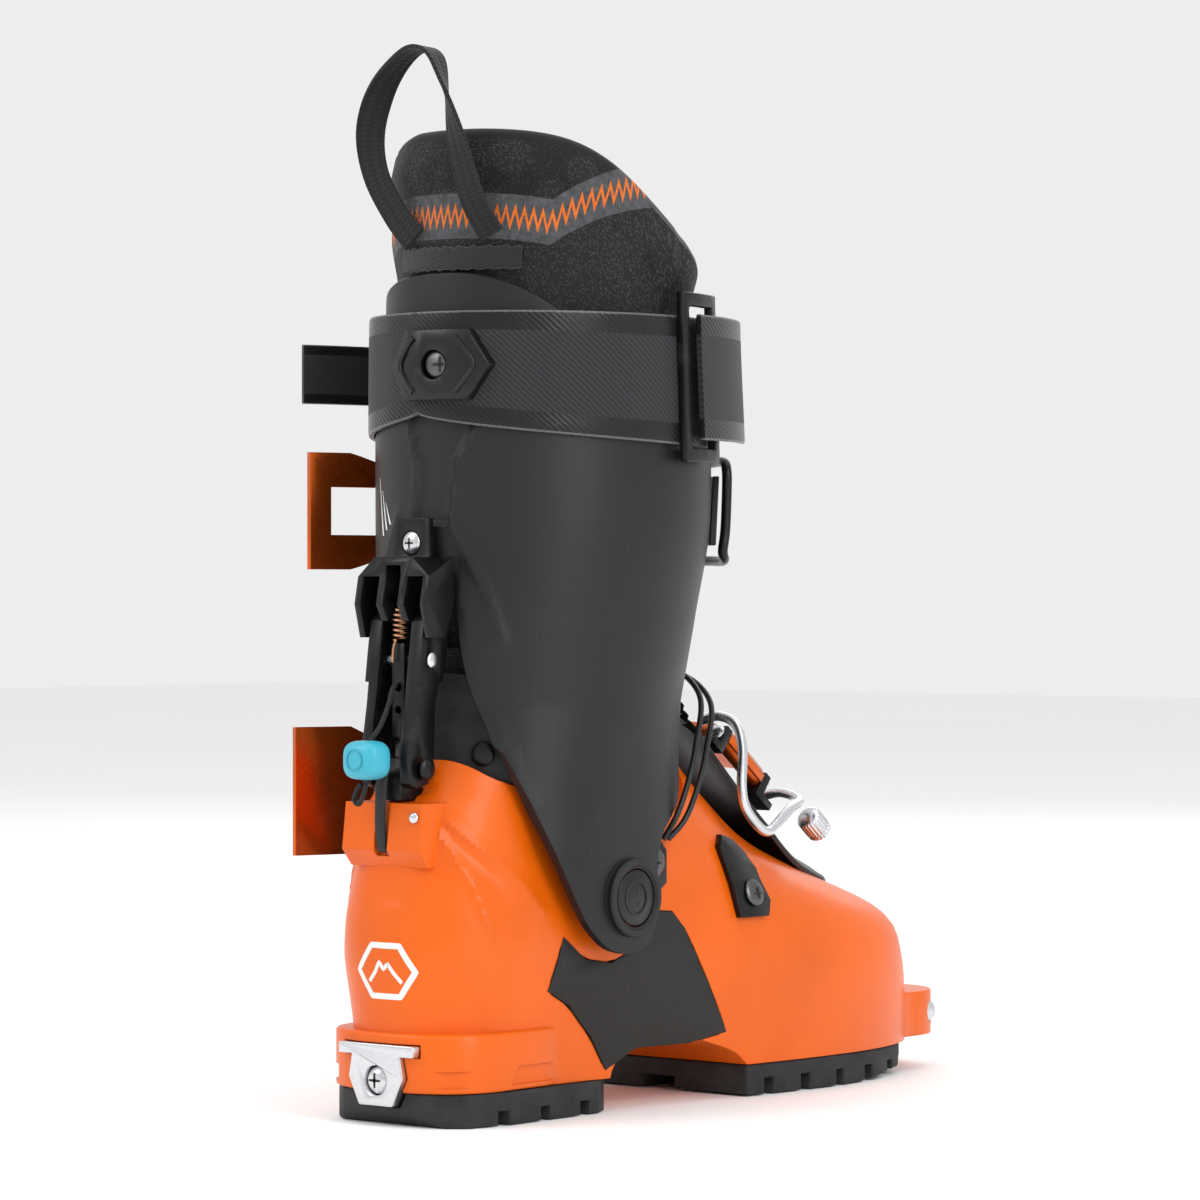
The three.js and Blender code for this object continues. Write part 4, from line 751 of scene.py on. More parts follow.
# ---------------------------------------------------------------- lower shell
COARSE = (24, 16, 30)          # steps of a foot section in a cutter
CUFF_HEIGHTS = [50, 90, 128, 150, 180, 220, 300]
RIB_TURN = math.radians(40)    # the shell's ribs are laid out as seen from this far round the rear
CUFF_SIDE = [(-10, 300), (-10, 150), (30, 140), (38, 117), (51, 87), (60, 70), (70, 61), (82, 58), (94, 61),
             (99, 70), (100, 82), (99, 92), (103, 102), (111, 108), (121, 115), (129, 127), (132, 142),
             (138, 156), (148, 166), (175, 172), (175, 300)]
PANEL_OUTLINE = [(58, 66), (70, 57), (84, 55), (96, 60), (106, 73), (118, 72), (139, 38), (146, 25),
                 (126, 22), (100, 22), (84, 15), (76, 28), (64, 40), (52, 46)]
RIBS = [[(17, 111), (24, 101), (34, 86), (42, 67)], [(19.5, 112), (34, 101), (48, 89), (59, 75)]]


def rear_quarter(points):
    """How far across a point sits, seen from RIB_TURN round the rear, with both sides alike."""
    return np.abs(points[:, 0]) * math.cos(RIB_TURN) + points[:, 1] * math.sin(RIB_TURN)


def shell_relief(points):
    """Raised ribs from the heel rivet, a hollow between them, a parting ridge and a soft toe bump."""
    across, z = rear_quarter(points), points[:, 2]
    side = (points[:, 1] < 75) & (z > 50)
    height = np.zeros(len(points))
    for line in RIBS:
        height += 1.3 * hill(near_line(across, z, line), 1.2) * side
    middle = [tuple((a + b) / 2 for a, b in zip(p, q)) for p, q in zip(*RIBS)]
    height -= 1.2 * hill(near_line(across, z, middle), 3.2) * side
    rear = (points[:, 1] < 30)
    height += 0.35 * hill(points[:, 0], 0.7) * rear * eased(z, 67, 70) * (1 - eased(z, 84, 90))
    panel = eased(z, 78, 79.5) * (1 - eased(z, 95, 96.5))
    height -= 0.5 * eased(np.abs(points[:, 0]), 9.5, 8.3) * rear * panel
    bump = np.hypot((points[:, 0] - 8) / 14, (points[:, 1] - 250) / 12)
    height += 1.4 * np.exp(-bump ** 2) * (z > 50)
    return height


def shell_rings(heights, offset, shift=0.0, steps=(56, 36, 64)):
    return [foot_ring(z, offset, z + shift, steps) for z in heights]


def welt_ring(z, rear, front, half=35.5, steps=48):
    ring = []
    for i in range(steps + 1):
        c, s = blunt(math.pi * (i / steps - 0.5), 0.78)
        ring.append((half * s, rear + 30 - 30 * c, z))
    return ring + [(half, front - 8, z), (half - 4, front, z), (4 - half, front, z), (-half, front - 8, z)]


def toe_welt_ring(z, half=34, steps=40):
    ring = []
    for i in range(steps + 1):
        c, s = blunt(math.pi * (i / steps - 0.5), 0.75)
        ring.append((-half * s, 279 + 26 * c, z))
    return ring + [(-half, 270, z), (half, 270, z)]


def eased_levels(low, high, edge, steps=3):
    """Levels of a slab whose top and bottom edges are rounded: (z, inset)."""
    down = [(low + edge * (1 - math.cos(t)), edge * (1 - math.sin(t)))
            for t in np.linspace(0, math.pi / 2, steps + 1)]
    return down + [(low + high - z, inset) for z, inset in reversed(down)]


def make_lower_shell():
    heights = np.concatenate([[12.0], np.arange(14, 62, 4.0), np.arange(62, 140.1, 1.6)])
    rings = np.array(shell_rings(heights, 0.0))
    flat = rings.reshape(-1, 3)
    raised = flat.copy()
    middle_y = np.clip(flat[:, 1], 45, 250)
    away = flat[:, :2] - np.stack([np.zeros(len(flat)), middle_y], 1)
    away /= np.maximum(np.linalg.norm(away, axis=1), 1e-6)[:, None]
    raised[:, :2] += away * shell_relief(flat)[:, None]
    shell = loft("shell_skin", raised.reshape(rings.shape), ORANGE)
    heel_welt = [welt_ring(z, inset, 62 - inset, 35.5 - inset) for z, inset in eased_levels(12, 33, 1.2)]
    welts = [loft("cutter", heel_welt),
             loft("cutter", [toe_welt_ring(z, 34 - inset) for z, inset in eased_levels(13, 31, 1.0)]),
             prism("yz", [(1, 98), (6, 92), (24, 92), (24, 115), (3, 115)], -18.5, 18.5)]
    for welt in welts:
        carve(shell, welt, "UNION")
    inner_heights = np.concatenate([[26.0], np.arange(30, 160.1, 5.0)])
    carve(shell, loft("cutter", shell_rings(inner_heights, -SHELL_WALL, SHELL_WALL, COARSE)))
    arch = [(84, 0), (88, 17), (98, 24), (126, 25), (150, 18), (158, 11.9), (158, 0)]
    collar = [(-20, 115.5), (16, 115.5), (21, 130), (24, 130), (34, 122), (60, 116), (90, 118), (112, 128),
              (150, 136), (150, 180), (-20, 180)]
    throat = [(-19, 118), (19, 118), (19, 190), (13, 224), (-13, 224), (-19, 190)]
    carve(shell, prism("yz", softened(arch, 2, (0, 5, 6)), -BEYOND, BEYOND))
    carve(shell, prism("yz", softened(collar, 2, (0, 9, 10)), -BEYOND, BEYOND))
    carve(shell, prism("xy", softened(throat, 2), 60, 180))
    for cutter in (box_cutter(-3.2, 3.2, -5, 4.4, 96, 120), box_cutter(-6.6, 6.6, 0, 17.5, 115.4, 132),
                   prism("xz", heel_insert_outline(0.4), -3, 6.4), rod([0, -2, 16], [0, 16, 16], 3),
                   pivot_rod(60, 5.2),
                   rod([-40, 293, 22], [40, 293, 22], 4.4)):
        carve(shell, cutter)
    for side in (1, -1):
        room = prism("yz", softened(PANEL_OUTLINE, 1), side * 20, side * 80)
        carve(room, loft("cutter", shell_rings([5, 14, 24, 34, 44, 54, 64, 74, 90], -2.5, 0.0, COARSE)))
        carve(shell, room)
        dent = prism("yz", [(32, 14), (36, 20.5), (60, 20.5), (56, 14)], side * 34.3, side * 40)
        carve(shell, dent)
        corner = prism("xy", [(side * 21, -6), (side * 40, 14), (side * 33.5, 15), (side * 20, 1.2)], 14, 20)
        carve(shell, corner)
    clear_of_lean(shell)
    smoothed(shell.data, 34)
    return fit(shell, "shell", "orange_shell", "lower_shell")


def heel_insert_outline(grow):
    half = [(18 + grow, 29 + grow), (18 + grow, 25 - grow), (11.5 + grow, 25 - grow), (13 + grow, 17),
            (8 + grow, 7 - grow)]
    return half + [(-x, z) for x, z in reversed(half)]


def cuff_tube(heights, outer, inner, points=120):
    outside = [cuff_ring(z, outer, points) for z in heights]
    inside = [cuff_ring(z, inner, points) for z in reversed(heights)]
    return loft("cutter", outside + inside, ends="join")


def clear_of_lean(piece):
    """Takes away the room that the cuff's lower edge sweeps as the cuff leans forward."""
    for part in (0.3, 0.55, 0.8, 1.06):
        edge = cuff_tube(CUFF_HEIGHTS, 3, -CUFF_WALL - 1.6)
        carve(edge, prism("yz", CUFF_SIDE, -BEYOND, BEYOND), "INTERSECT")
        carve(piece, lean(edge, LEAN_FORWARD * part))


make_lower_shell()


# ---------------------------------------------------------------- cuff
REAR_OPENING = [(-15.6, 200), (-15.6, 184), (-17, 168), (-20, 154), (-26, 140), (-36, 112), (-44, 50),
                (44, 50), (36, 112), (26, 140), (20, 154), (17, 168), (15.6, 184), (15.6, 200)]
CUFF_PANEL = [(-8, 256), (25, 256), (14.5, 237), (12.5, 214), (-4, 214), (-3, 237)]
CUFF_CREASE = [(12.5, 218), (19, 205), (26, 190), (30, 172)]


def inside_outline(a, b, outline):
    hit = np.zeros(np.shape(a), bool)
    for (x0, y0), (x1, y1) in zip(outline, outline[1:] + outline[:1]):
        crosses = (y0 > b) != (y1 > b)
        at = (x1 - x0) * (b - y0) / ((y1 - y0) or 1e-9) + x0
        hit ^= crosses & (a < at)
    return hit


def cuff_relief(points):
    """Recessed tapered panel at the rear, creases beside the opening and a thicker lip round it."""
    x, y, z = points[:, 0], points[:, 1], points[:, 2]
    rear = y < 60
    edge = near_line(x, z, CUFF_PANEL + CUFF_PANEL[:1])
    sunk = np.where(inside_outline(x, z, CUFF_PANEL), np.clip(edge / 1.3, 0, 1), 0) * 1.9
    height = -sunk * rear + 0.35 * hill(edge, 1.5) * rear * (z < 262)
    for side in (1, -1):
        crease = [(side * a, b) for a, b in CUFF_CREASE]
        height += 1.3 * hill(near_line(x, z, crease), 1.8) * rear
    lip = near_line(x, z, REAR_OPENING[1:6]), near_line(x, z, REAR_OPENING[8:13])
    height += 0.4 * hill(np.minimum(*lip) - 3, 1.6) * rear
    top = eased(z, 283, 289)
    return height + 0.3 * top


def make_cuff():
    heights = np.concatenate([np.arange(55, 150, 3.0), np.arange(150, 290.1, 2.0)])
    count = 220
    outer = np.array([cuff_ring(z, 0.0, count) for z in heights])
    flat = outer.reshape(-1, 3)
    outer = swell(flat, (0, 88), cuff_relief(flat)).reshape(outer.shape)
    inner = np.array([cuff_ring(z, -CUFF_WALL, count) for z in heights[::-1]])
    cuff = loft("cuff_skin", np.concatenate([outer, inner]), CUFF_GREY, ends="join")
    carve(cuff, prism("yz", softened(CUFF_SIDE, 2, (0, 20)), -BEYOND, BEYOND), "INTERSECT")
    carve(cuff, prism("xz", softened(REAR_OPENING, 2), -20, 60))
    for side in (1, -1):
        rim = [(45.6, 14.4), (50.2, 14.4), (50.9, 13.8), (50.9, 11.9), (50.2, 11.4)]
        rings = [ring_yz(side * x, radius, 64) for x, radius in rim]
        carve(cuff, loft("cutter", rings), "UNION")
    carve(cuff, pivot_rod(70, 10.8, 64))
    carve(cuff, prism("xy", [(-13, 100), (13, 100), (13, 180), (-13, 180)], 100, 310))
    smoothed(cuff.data, 32)
    return fit(cuff, "cuff", "charcoal_cuff", "cuff_shell")


def make_spoiler():
    """The thin rear extension that rises inside the cuff's top edge."""
    edge = [(-1.05, 284), (-0.8, 297), (-0.45, 303.5), (0, 306), (0.42, 304.5), (0.8, 296), (1.1, 283)]
    top = catmull(edge, 12)
    foot, rings = 262, []
    for turn, z in top:
        column = []
        for share in np.linspace(0, 1, 10):
            column.append(cuff_point(foot + (z - 0.8 - foot) * share, turn, -CUFF_WALL - 0.3))
        column.append(cuff_point(z, turn, -CUFF_WALL - 1.2))
        column.append(cuff_point(z - 0.2, turn, -CUFF_WALL - 2.4))
        for share in np.linspace(1, 0, 8):
            column.append(cuff_point(foot + (z - 1.2 - foot) * share, turn, -CUFF_WALL - 3.3))
        rings.append(column)
    spoiler = loft("spoiler_skin", rings, CUFF_GREY)
    return fit(spoiler, "cuff", "charcoal_cuff", "cuff_spoiler")


def make_slashes():
    """Three plain slanted dashes printed on the rear outer side of the cuff."""
    for i in range(3):
        low, high = 211 + 2.0 * i, 232 - 4.5 * i
        rows = []
        for share in np.linspace(0, 1, 12):
            z = low + (high - low) * share
            turn = -0.43 + 0.055 * i - 0.07 * share
            half = 0.011 * (1 - 0.75 * share)
            rows.append([cuff_point(z, turn - half, 0.04), cuff_point(z, turn + half, 0.04),
                         cuff_point(z, turn + half, 0.12), cuff_point(z, turn - half, 0.12)])
        fit(loft(f"cuff_dash_{i + 1}", rows, PRINT_WHITE), "cuff", "charcoal_cuff")


PRINT_WHITE = moulded("print_white", (0.78, 0.78, 0.76), 0.5, grain=1500, wear=0.1)
make_cuff()
make_spoiler()
make_slashes()

# ---------------------------------------------------------------- liner
RIM = [(-10, 351), (20, 356.5), (36, 358), (60, 353), (86, 338), (108, 319), (130, 303), (152, 297)]
RIM_LINE = catmull(RIM, 8)
LINER_WALL = 8.0


def rim_height(y, x):
    return float(np.interp(y, RIM_LINE[:, 0], RIM_LINE[:, 1])) - 5.0 * float(eased(-x, 10, 45))


def liner_offset(z, rim, y=0.0):
    """How far the liner's outside stands inside the cuff's outside; above the cuff its front flares."""
    flare = 7.5 * float(eased(z, 292, 312)) * float(eased(y, 84, 118))
    base = flare - CUFF_WALL - 4.2 - 3.6 * (1 - float(eased(z, 160, 176))) + 3.4 * float(eased(z, 300, 322))
    roll = 1.6 * math.exp(-((rim - 12 - z) / 8.0) ** 2)
    return base + roll - 0.6


def groove_clear(point):
    """Keeps the rear of the liner out of the groove that the lock bar swings in."""
    x, y, z = point
    wanted = 44.6 - 14 * float(eased(z, 186, 206))
    share = (1 - float(eased(abs(x), 17.5, 22))) * (1 - float(eased(z, 200, 210)))
    return [x, y + max(wanted - y, 0) * share, z]


def liner_column(turn, low, puff):
    at_rim = cuff_point(340, turn, -6)
    rim = rim_height(at_rim[1], at_rim[0])
    rows, below = [], []
    levels = rim - np.concatenate([np.linspace(rim - low, 36, 34), np.linspace(34, 4, 12)])
    for z in levels:
        rows.append(groove_clear(cuff_point(z, turn, liner_offset(z, rim, at_rim[1]) + puff)))
        below.append(rim - z)
    for angle in np.linspace(0, math.pi, 9):
        middle = liner_offset(rim - 4, rim, at_rim[1]) - LINER_WALL / 2
        offset = middle + (LINER_WALL / 2 + puff) * math.cos(angle)
        rows.append(cuff_point(rim - 4 + 4 * math.sin(angle), turn, offset))
        below.append(4 - 4 * math.sin(angle) - 0.3 * angle)
    for z in np.concatenate([np.linspace(rim - 8, rim - 40, 8), np.linspace(rim - 50, low, 16)]):
        inset = liner_offset(z, rim, at_rim[1]) - LINER_WALL - 1.2 * math.exp(-((rim - 20 - z) / 14) ** 2)
        point = cuff_point(z, turn, inset)
        deep = 50.5 * (1 - float(eased(z, 190, 214)))
        keep = 1 - float(eased(abs(point[0]), 21, 27))
        rows.append([point[0], point[1] + max(deep - point[1], 0) * keep, z])
        below.append(rim - z + 20)
    return rows, below


def make_liner_leg():
    """The liner's leg: a foam tube with a rolled rim, open in front for its tongue."""
    turns = np.linspace(-2.72, 2.72, 190)
    columns, uvs = [], []
    for turn in turns:
        seam = math.exp(-((abs(turn) - 1.75) / 0.03) ** 2) + math.exp(-((abs(turn) - 0.62) / 0.025) ** 2)
        low = liner_foot_edge(turn)
        rows, below = liner_column(turn, low, -0.7 * seam)
        columns.append(rows)
        around = turn * 60.0
        uvs.append([(around * MM, b * MM) for b in below])
    liner = loft("liner_leg", columns, LINER, uv=uvs)
    fit(liner, "cuff", "liner_fabric", "liner_cuff")


def liner_foot_edge(turn):
    """Lowest level of the leg part: it stops clear of the foot part's round ankle."""
    point = cuff_point(150, turn, -14.8)
    reach = 72.2 ** 2 - (point[1] - PIVOT_Y) ** 2
    low = max(PIVOT_Z + math.sqrt(max(reach, 0)) + 1.5, 120)
    front = float(np.interp(point[1], (104, 112, 128, 170), (120, 154, 179, 199)))
    rear = 151 if abs(point[0]) < 32 and point[1] < 60 else 0
    return max(low, front, rear)


def make_liner_tongue():
    """The shin pad that closes the liner in front, with a rolled top edge."""
    spread, foot, rings = 0.40, 200, []
    for turn in np.linspace(math.pi - spread, math.pi + spread, 25):
        bulge = 1.2 * math.cos((turn - math.pi) / spread * math.pi / 2)
        top = 314 + 14 * math.cos((turn - math.pi) / spread * 1.35)
        column = []
        for z in np.linspace(foot, top, 26):
            column.append(cuff_point(z, turn, -CUFF_WALL - 2.6 + bulge))
        for angle in np.linspace(0.2, math.pi - 0.2, 7):
            offset = -CUFF_WALL - 5.5 + (2.9 + bulge / 2) * math.cos(angle)
            column.append(cuff_point(top + 4 * math.sin(angle), turn, offset))
        for z in np.linspace(top, foot, 18):
            column.append(cuff_point(z, turn, -CUFF_WALL - 8.4))
        rings.append(column)
    piece = loft("liner_shin_pad", rings, LINER_PLAIN)
    fit(piece, "cuff", "liner_fabric", "liner_tongue")


def make_liner_foot():
    """The foot part of the liner, a smooth bootie with a hollow for the foot."""
    heights = np.concatenate([np.arange(31.4, 100, 4.0), np.arange(100, 152.1, 4.0)])
    rings = [foot_ring(z, -SHELL_WALL - 0.9, z + SHELL_WALL + 1, (30, 20, 36)) for z in heights]
    piece = loft("liner_bootie", rings, LINER_PLAIN)
    wall = SHELL_WALL + 6
    hollow = [38, 48, 58, 68, 80, 94, 110, 128, 170]
    cuffs = [leaned_cuff(degrees) for degrees in (0, LEAN_BACK, LEAN_FORWARD)]
    for cuff in cuffs:
        carve(piece, carve(cuff, box_cutter(-80, 80, -20, 320, 20, 108), "UNION"), "INTERSECT")
    ball = carve(pivot_rod(90, 70.5, 96),
                 box_cutter(-60, 60, PIVOT_Y + 25, 300, 20, 100), "UNION")
    carve(piece, ball, "INTERSECT")
    carve(piece, loft("cutter", [foot_ring(z, -wall, min(z + wall, 150), COARSE) for z in hollow]))
    carve(piece, prism("xy", [(-16, 100), (16, 100), (14, 170), (-14, 170)], 70, 190))
    carve(piece, pivot_rod(60, 5.4))
    smoothed(piece.data, 40)
    fit(piece, "shell", "liner_fabric", "liner_foot")


def leaned_cuff(degrees):
    """The room inside the cuff, with the cuff leaned by some degrees."""
    return lean(loft("cutter", [cuff_ring(z, -CUFF_WALL - 2, 90) for z in CUFF_HEIGHTS]), degrees)


LINER_PLAIN = webbing("liner_lining", (0.016, 0.016, 0.017), across=1500.0, along=1500.0, sheen=0.15)
make_liner_leg()
make_liner_tongue()
make_liner_foot()

# ---------------------------------------------------------------- power strap, its folded end and tail, loop and patch


STRAP_ROUND = 62 * MM          # turns an angle round the cuff into a length along the tape


def band_profile(low, high, inner, outer, rows=16):
    """Points up a tape's outside and down its inside, with rounded edges: (z, offset, share of width)."""
    half = (outer - inner) / 2
    middle = (outer + inner) / 2
    up = [(low + (high - low) * s, outer, s) for s in np.linspace(0.02, 0.98, rows)]
    over = [(high + half * 0.4 * math.sin(a), middle + half * math.cos(a), 1.0) for a in (0.7, 1.57, 2.4)]
    down = [(high + (low - high) * s, inner, 1 - s) for s in np.linspace(0.02, 0.98, rows // 2)]
    under = [(low - half * 0.4 * math.sin(a), middle - half * math.cos(a), 0.0) for a in (0.7, 1.57, 2.4)]
    return up + over + down + under


def band(name, turns, low, high, inner, outer, wraps):
    """A tape round the cuff. low may depend on the angle; the cloth ripples a little."""
    rings, uvs = [], []
    for turn in turns:
        ripple = 0.10 * math.sin(9 * turn) + 0.06 * math.sin(23 * turn + 1)
        profile = band_profile(low(turn), high, inner, outer)
        rings.append([cuff_point(z, turn, offset + (ripple if offset > inner + 0.5 else 0))
                      for z, offset, _ in profile])
        uvs.append([(turn * STRAP_ROUND, share) for _, _, share in profile])
    return loft(name, rings, STRAP, ends="join" if wraps else "cap", uv=uvs)


def strap_low(turn):
    nearest = min(turn % TAU, TAU - turn % TAU)
    return 255 - 11 * math.sin(min(nearest * 1.4, math.pi) / 2) ** 0.7


def make_strap():
    strap = band("strap_band", np.linspace(0, TAU, 180, endpoint=False), strap_low, 291, 0.3, 2.6, True)
    fit(strap, "cuff", "webbing", "power_strap")
    fit(folded_end(), "cuff", "webbing", "strap_fold")


def folded_end():
    """The strap's end, folded back through the ring and standing off more and more."""
    rings, uvs = [], []
    for degrees in np.linspace(100.2, 135.6, 32):
        lift = 6.95 + 4.1 * ((degrees - 100) / 36) ** 1.5
        profile = band_profile(246.4, 291.6, lift, lift + 2.1)
        rings.append([cuff_point(z, math.radians(degrees), offset) for z, offset, _ in profile])
        uvs.append([(math.radians(degrees) * STRAP_ROUND, share) for _, _, share in profile])
    return loft("strap_folded_end", rings, STRAP, uv=uvs)


def make_tail():
    """The strap's free end, standing off on the outer side."""
    line = catmull([(-65.6, 76.0), (-66.6, 66.0), (-68.8, 55.4), (-71.3, 46.0), (-73.9, 38.4)], 6)
    rings, uvs = [], []
    for (x, y), (dx, dy) in zip(line, np.gradient(line, axis=0)):
        across = np.array([dy, -dx]) / math.hypot(dx, dy)
        profile = band_profile(261.2, 282.8, -0.85, 0.85, 10)
        rings.append([[x + across[0] * side, y + across[1] * side, z] for z, side, _ in profile])
        uvs.append([(y * MM, share) for _, _, share in profile])
    fit(loft("strap_free_end", rings, STRAP, uv=uvs), "cuff", "webbing", "strap_tail")


LOOP_POINTS = [(-8, 28, 318.4), (-16, 26.5, 328), (-23, 23.5, 343), (-23.5, 21.5, 359), (-16, 21, 375),
               (-3, 21.5, 386), (7, 22, 384), (11.5, 23, 371), (15.5, 25, 352), (20, 28, 332),
               (25, 33.4, 318.6)]


def make_loop():
    """The pull loop: a tape that twists through a quarter turn at its top."""
    line = catmull(LOOP_POINTS, 9)
    along = np.gradient(line, axis=0)
    along /= np.linalg.norm(along, axis=1)[:, None]
    travelled = np.concatenate([[0], np.cumsum(np.linalg.norm(np.diff(line, axis=0), axis=1))])
    rearward = np.array([0, 1.0, 0])
    section = [(-1, -0.6), (-0.97, -1), (-0.5, -1), (0, -1), (0.5, -1), (0.97, -1), (1, -0.6), (1, 0.6),
               (0.97, 1), (0.5, 1), (0, 1), (-0.5, 1), (-0.97, 1), (-1, 0.6)]
    half_width, half_thickness = 5.4, 0.75
    rings, uvs = [], []
    for at, tangent, s in zip(line, along, travelled):
        share = s / travelled[-1]
        in_plane = np.cross(rearward, tangent)
        in_plane /= np.linalg.norm(in_plane)
        twist = math.pi / 2 * math.sin(math.pi * share) ** 4
        wide = in_plane * math.cos(twist) + rearward * math.sin(twist)
        thick = np.cross(tangent, wide)
        thick /= np.linalg.norm(thick)
        rings.append([at + wide * w * half_width + thick * h * half_thickness for w, h in section])
        uvs.append([(s * MM, w * half_width * MM) for w, _ in section])
    fit(loft("pull_loop_tape", rings, LOOP_WEB, uv=uvs), "cuff", "webbing", "pull_loop")


def make_patch():
    """The hook-and-loop patch under the pull loop, fuzzy and a little uneven at its edges."""
    rings = []
    for turn in np.radians(np.linspace(-16.6, 37.6, 60)):
        jitter = 0.35 * math.sin(61 * turn) + 0.25 * math.sin(113 * turn + 2)
        profile = band_profile(307.0 + jitter * 0.6, 314.6 + jitter, -5.15, -3.2, 8)
        rings.append([cuff_point(z, turn, offset) for z, offset, _ in profile])
    fit(loft("hook_patch", rings, PATCH), "cuff", "webbing", "loop_patch")


make_strap()
make_tail()
make_loop()
make_patch()


# ---------------------------------------------------------------- tongue, gaiter, cables, bales and knob
TONGUE_LEVELS = [(246, 80), (232, 84.5), (214, 92), (196, 104), (178, 119.5), (162, 135), (152, 146),
                 (145, 157)]


def make_tongue():
    """The shell's plastic tongue, with two long ribs and an oval boss near its toe end."""
    line = catmull(TONGUE_LEVELS, 9)
    rings = []
    for i, (y, z) in enumerate(line):
        along = i / (len(line) - 1)
        half = 19 + 12 * min(along * 2.2, 1)
        sag = 5 + 11 * along
        taper = 1 - 0.35 * math.exp(-(i / 3.0) ** 2)
        top, under = [], []
        for t in np.linspace(-1, 1, 41):
            rib = 0.9 * math.exp(-((abs(t) - 0.72) / 0.07) ** 2) * float(eased(along, 0.05, 0.15))
            boss = math.hypot(t / 0.5, (along - 0.09) / 0.06)
            lift = rib - 0.8 * math.exp(-((boss - 0.8) / 0.22) ** 2) - 1.0 * max(abs(t) - 0.94, 0) / 0.06
            x = half * t * taper
            top.append((x, y - sag * 0.35 * t * t, z - sag * 0.65 * t * t + lift))
            under.append((x * 0.97, y - 2.8 * along - sag * 0.35 * t * t,
                          z - sag * 0.65 * t * t - 3 * (1.1 - along)))
        rings.append(top + under[::-1])
    tongue = loft("shell_tongue", rings, BLACK_PLASTIC)
    foot_heights = [12, 33, 45, 56, 66, 75, 84, 96, 110, 124, 150]
    carve(tongue, loft("cutter", shell_rings(foot_heights, 0.6, 0.0, COARSE)))
    clear_of_lean(tongue)
    smoothed(tongue.data, 40)
    fit(tongue, "shell", "black_plastic", "tongue")


def make_gaiter():
    """Rubber bellows behind the ankle, between the shell's collar and the cuff's cut-out."""
    heights = np.linspace(112, 164, 40)
    ripple = [0.5 * math.sin((z - 112) / 52 * TAU * 4) for z in heights]
    outside, inside = [[cuff_ring(z, -CUFF_WALL - depth - (z - 112) * 0.03 + r * 0.6, 160)
                        for z, r in zip(heights, ripple)] for depth in (3.3, 5.6)]
    gaiter = loft("gaiter_bellows", outside + inside[::-1], GAITER_RUBBER, ends="join")
    keep = [(10, 130.6), (24, 130.6), (34, 122.8), (50, 118.6), (52, 130), (44, 150), (30, 163), (10, 163)]
    carve(gaiter, prism("yz", softened(keep, 1), -60, 60), "INTERSECT")
    carve(gaiter, pivot_rod(90, 98.8, 96), "INTERSECT")
    smoothed(gaiter.data, 40)
    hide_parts("ankle_gaiter")
    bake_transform(gaiter)


GAITER_RUBBER = rubber("gaiter_rubber", (0.014, 0.014, 0.015))
CABLE_ROUTE = [(42.8, 110, 99), (45.6, 115.4, 107), (45.2, 123, 119), (42, 132, 133), (33, 145.5, 150),
               (14, 153.5, 160), (-6, 155, 160.5), (-24, 151, 152), (-35, 148, 137), (-39.6, 147.5, 121),
               (-39.6, 147, 112.4)]


def make_cables():
    for name, shift in (("rear", -2.2), ("front", 2.6)):
        points = []
        for i, (x, y, z) in enumerate(CABLE_ROUTE):
            part = math.sin(math.pi * i / (len(CABLE_ROUTE) - 1)) ** 0.5
            points.append((x, y + shift * (0.75 * part + 0.6), z - 0.55 * shift * part))
        cable = tube(f"cable_{name}", points, 1.1, BLACK_PLASTIC)
        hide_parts(f"instep_cable_{name}")
        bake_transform(cable)


def cuff_bale_line():
    strand = [cuff_point(239.6, math.radians(turn), 6.6) for turn in np.linspace(-112, -214, 9)]
    end = [cuff_point(z, math.radians(-219), 6.6) for z in (236, 228, 214, 206)]
    lower = [(x, y, 202.4) for x, y, _ in strand[::-1]]
    first = [(-64.6, 101, 235.4), (-66, 104.6, 238.6)]
    last = [(-66, 104.6, 203.4), (-64.6, 101, 206.6)]
    return first + strand + end + lower + last


FOREFOOT_BALE = [(12, -22, 13), (20, -22.4, 15.5), (30, -22, 12), (37, -20, 2), (42, -17, -13),
                 (43.6, -12, -19), (44, -4, -20.5), (43.6, 4, -19), (42, 9, -13), (37, 18, 2), (31, 27, 12),
                 (20, 27.4, 15.5), (12, 27, 13)]
KNOB = {"x": 34, "y": 37, "z": 8, "radius": 5.2, "length": 11}
BALE_RADIUS = 1.9


def make_bales():
    upper = wire("cuff_bale_wire", cuff_bale_line(), BALE_RADIUS, BLACK_METAL, 5, 5)
    fit(upper, "cuff_bale", "black_metal", "cuff_bale")
    bale = wire("forefoot_bale_wire", [ridge(*p) for p in FOREFOOT_BALE], BALE_RADIUS, STEEL, 8, 6)
    fit(bale, "forefoot_bale", "steel", "forefoot_bale")


def make_spring():
    """The lock bar's return spring: a coil that runs down into a straight tail."""
    points = []
    turns, per_turn, coil, top, length = 6, 14, 2.5, 184, 11
    for i in range(turns * per_turn + 1):
        turn = TAU * i / per_turn
        down = length * i / (turns * per_turn)
        points.append((coil * math.sin(turn), 12 - coil * math.cos(turn), top - down))
    points += [(-0.6, 9.2, 171.4), (-1, 8.9, 168), (-1, 8.9, 165)]
    fit(wire("return_coil", points, 0.45, SPRING_STEEL, 2, 4), "lock_bar", "spring_steel", "return_spring")


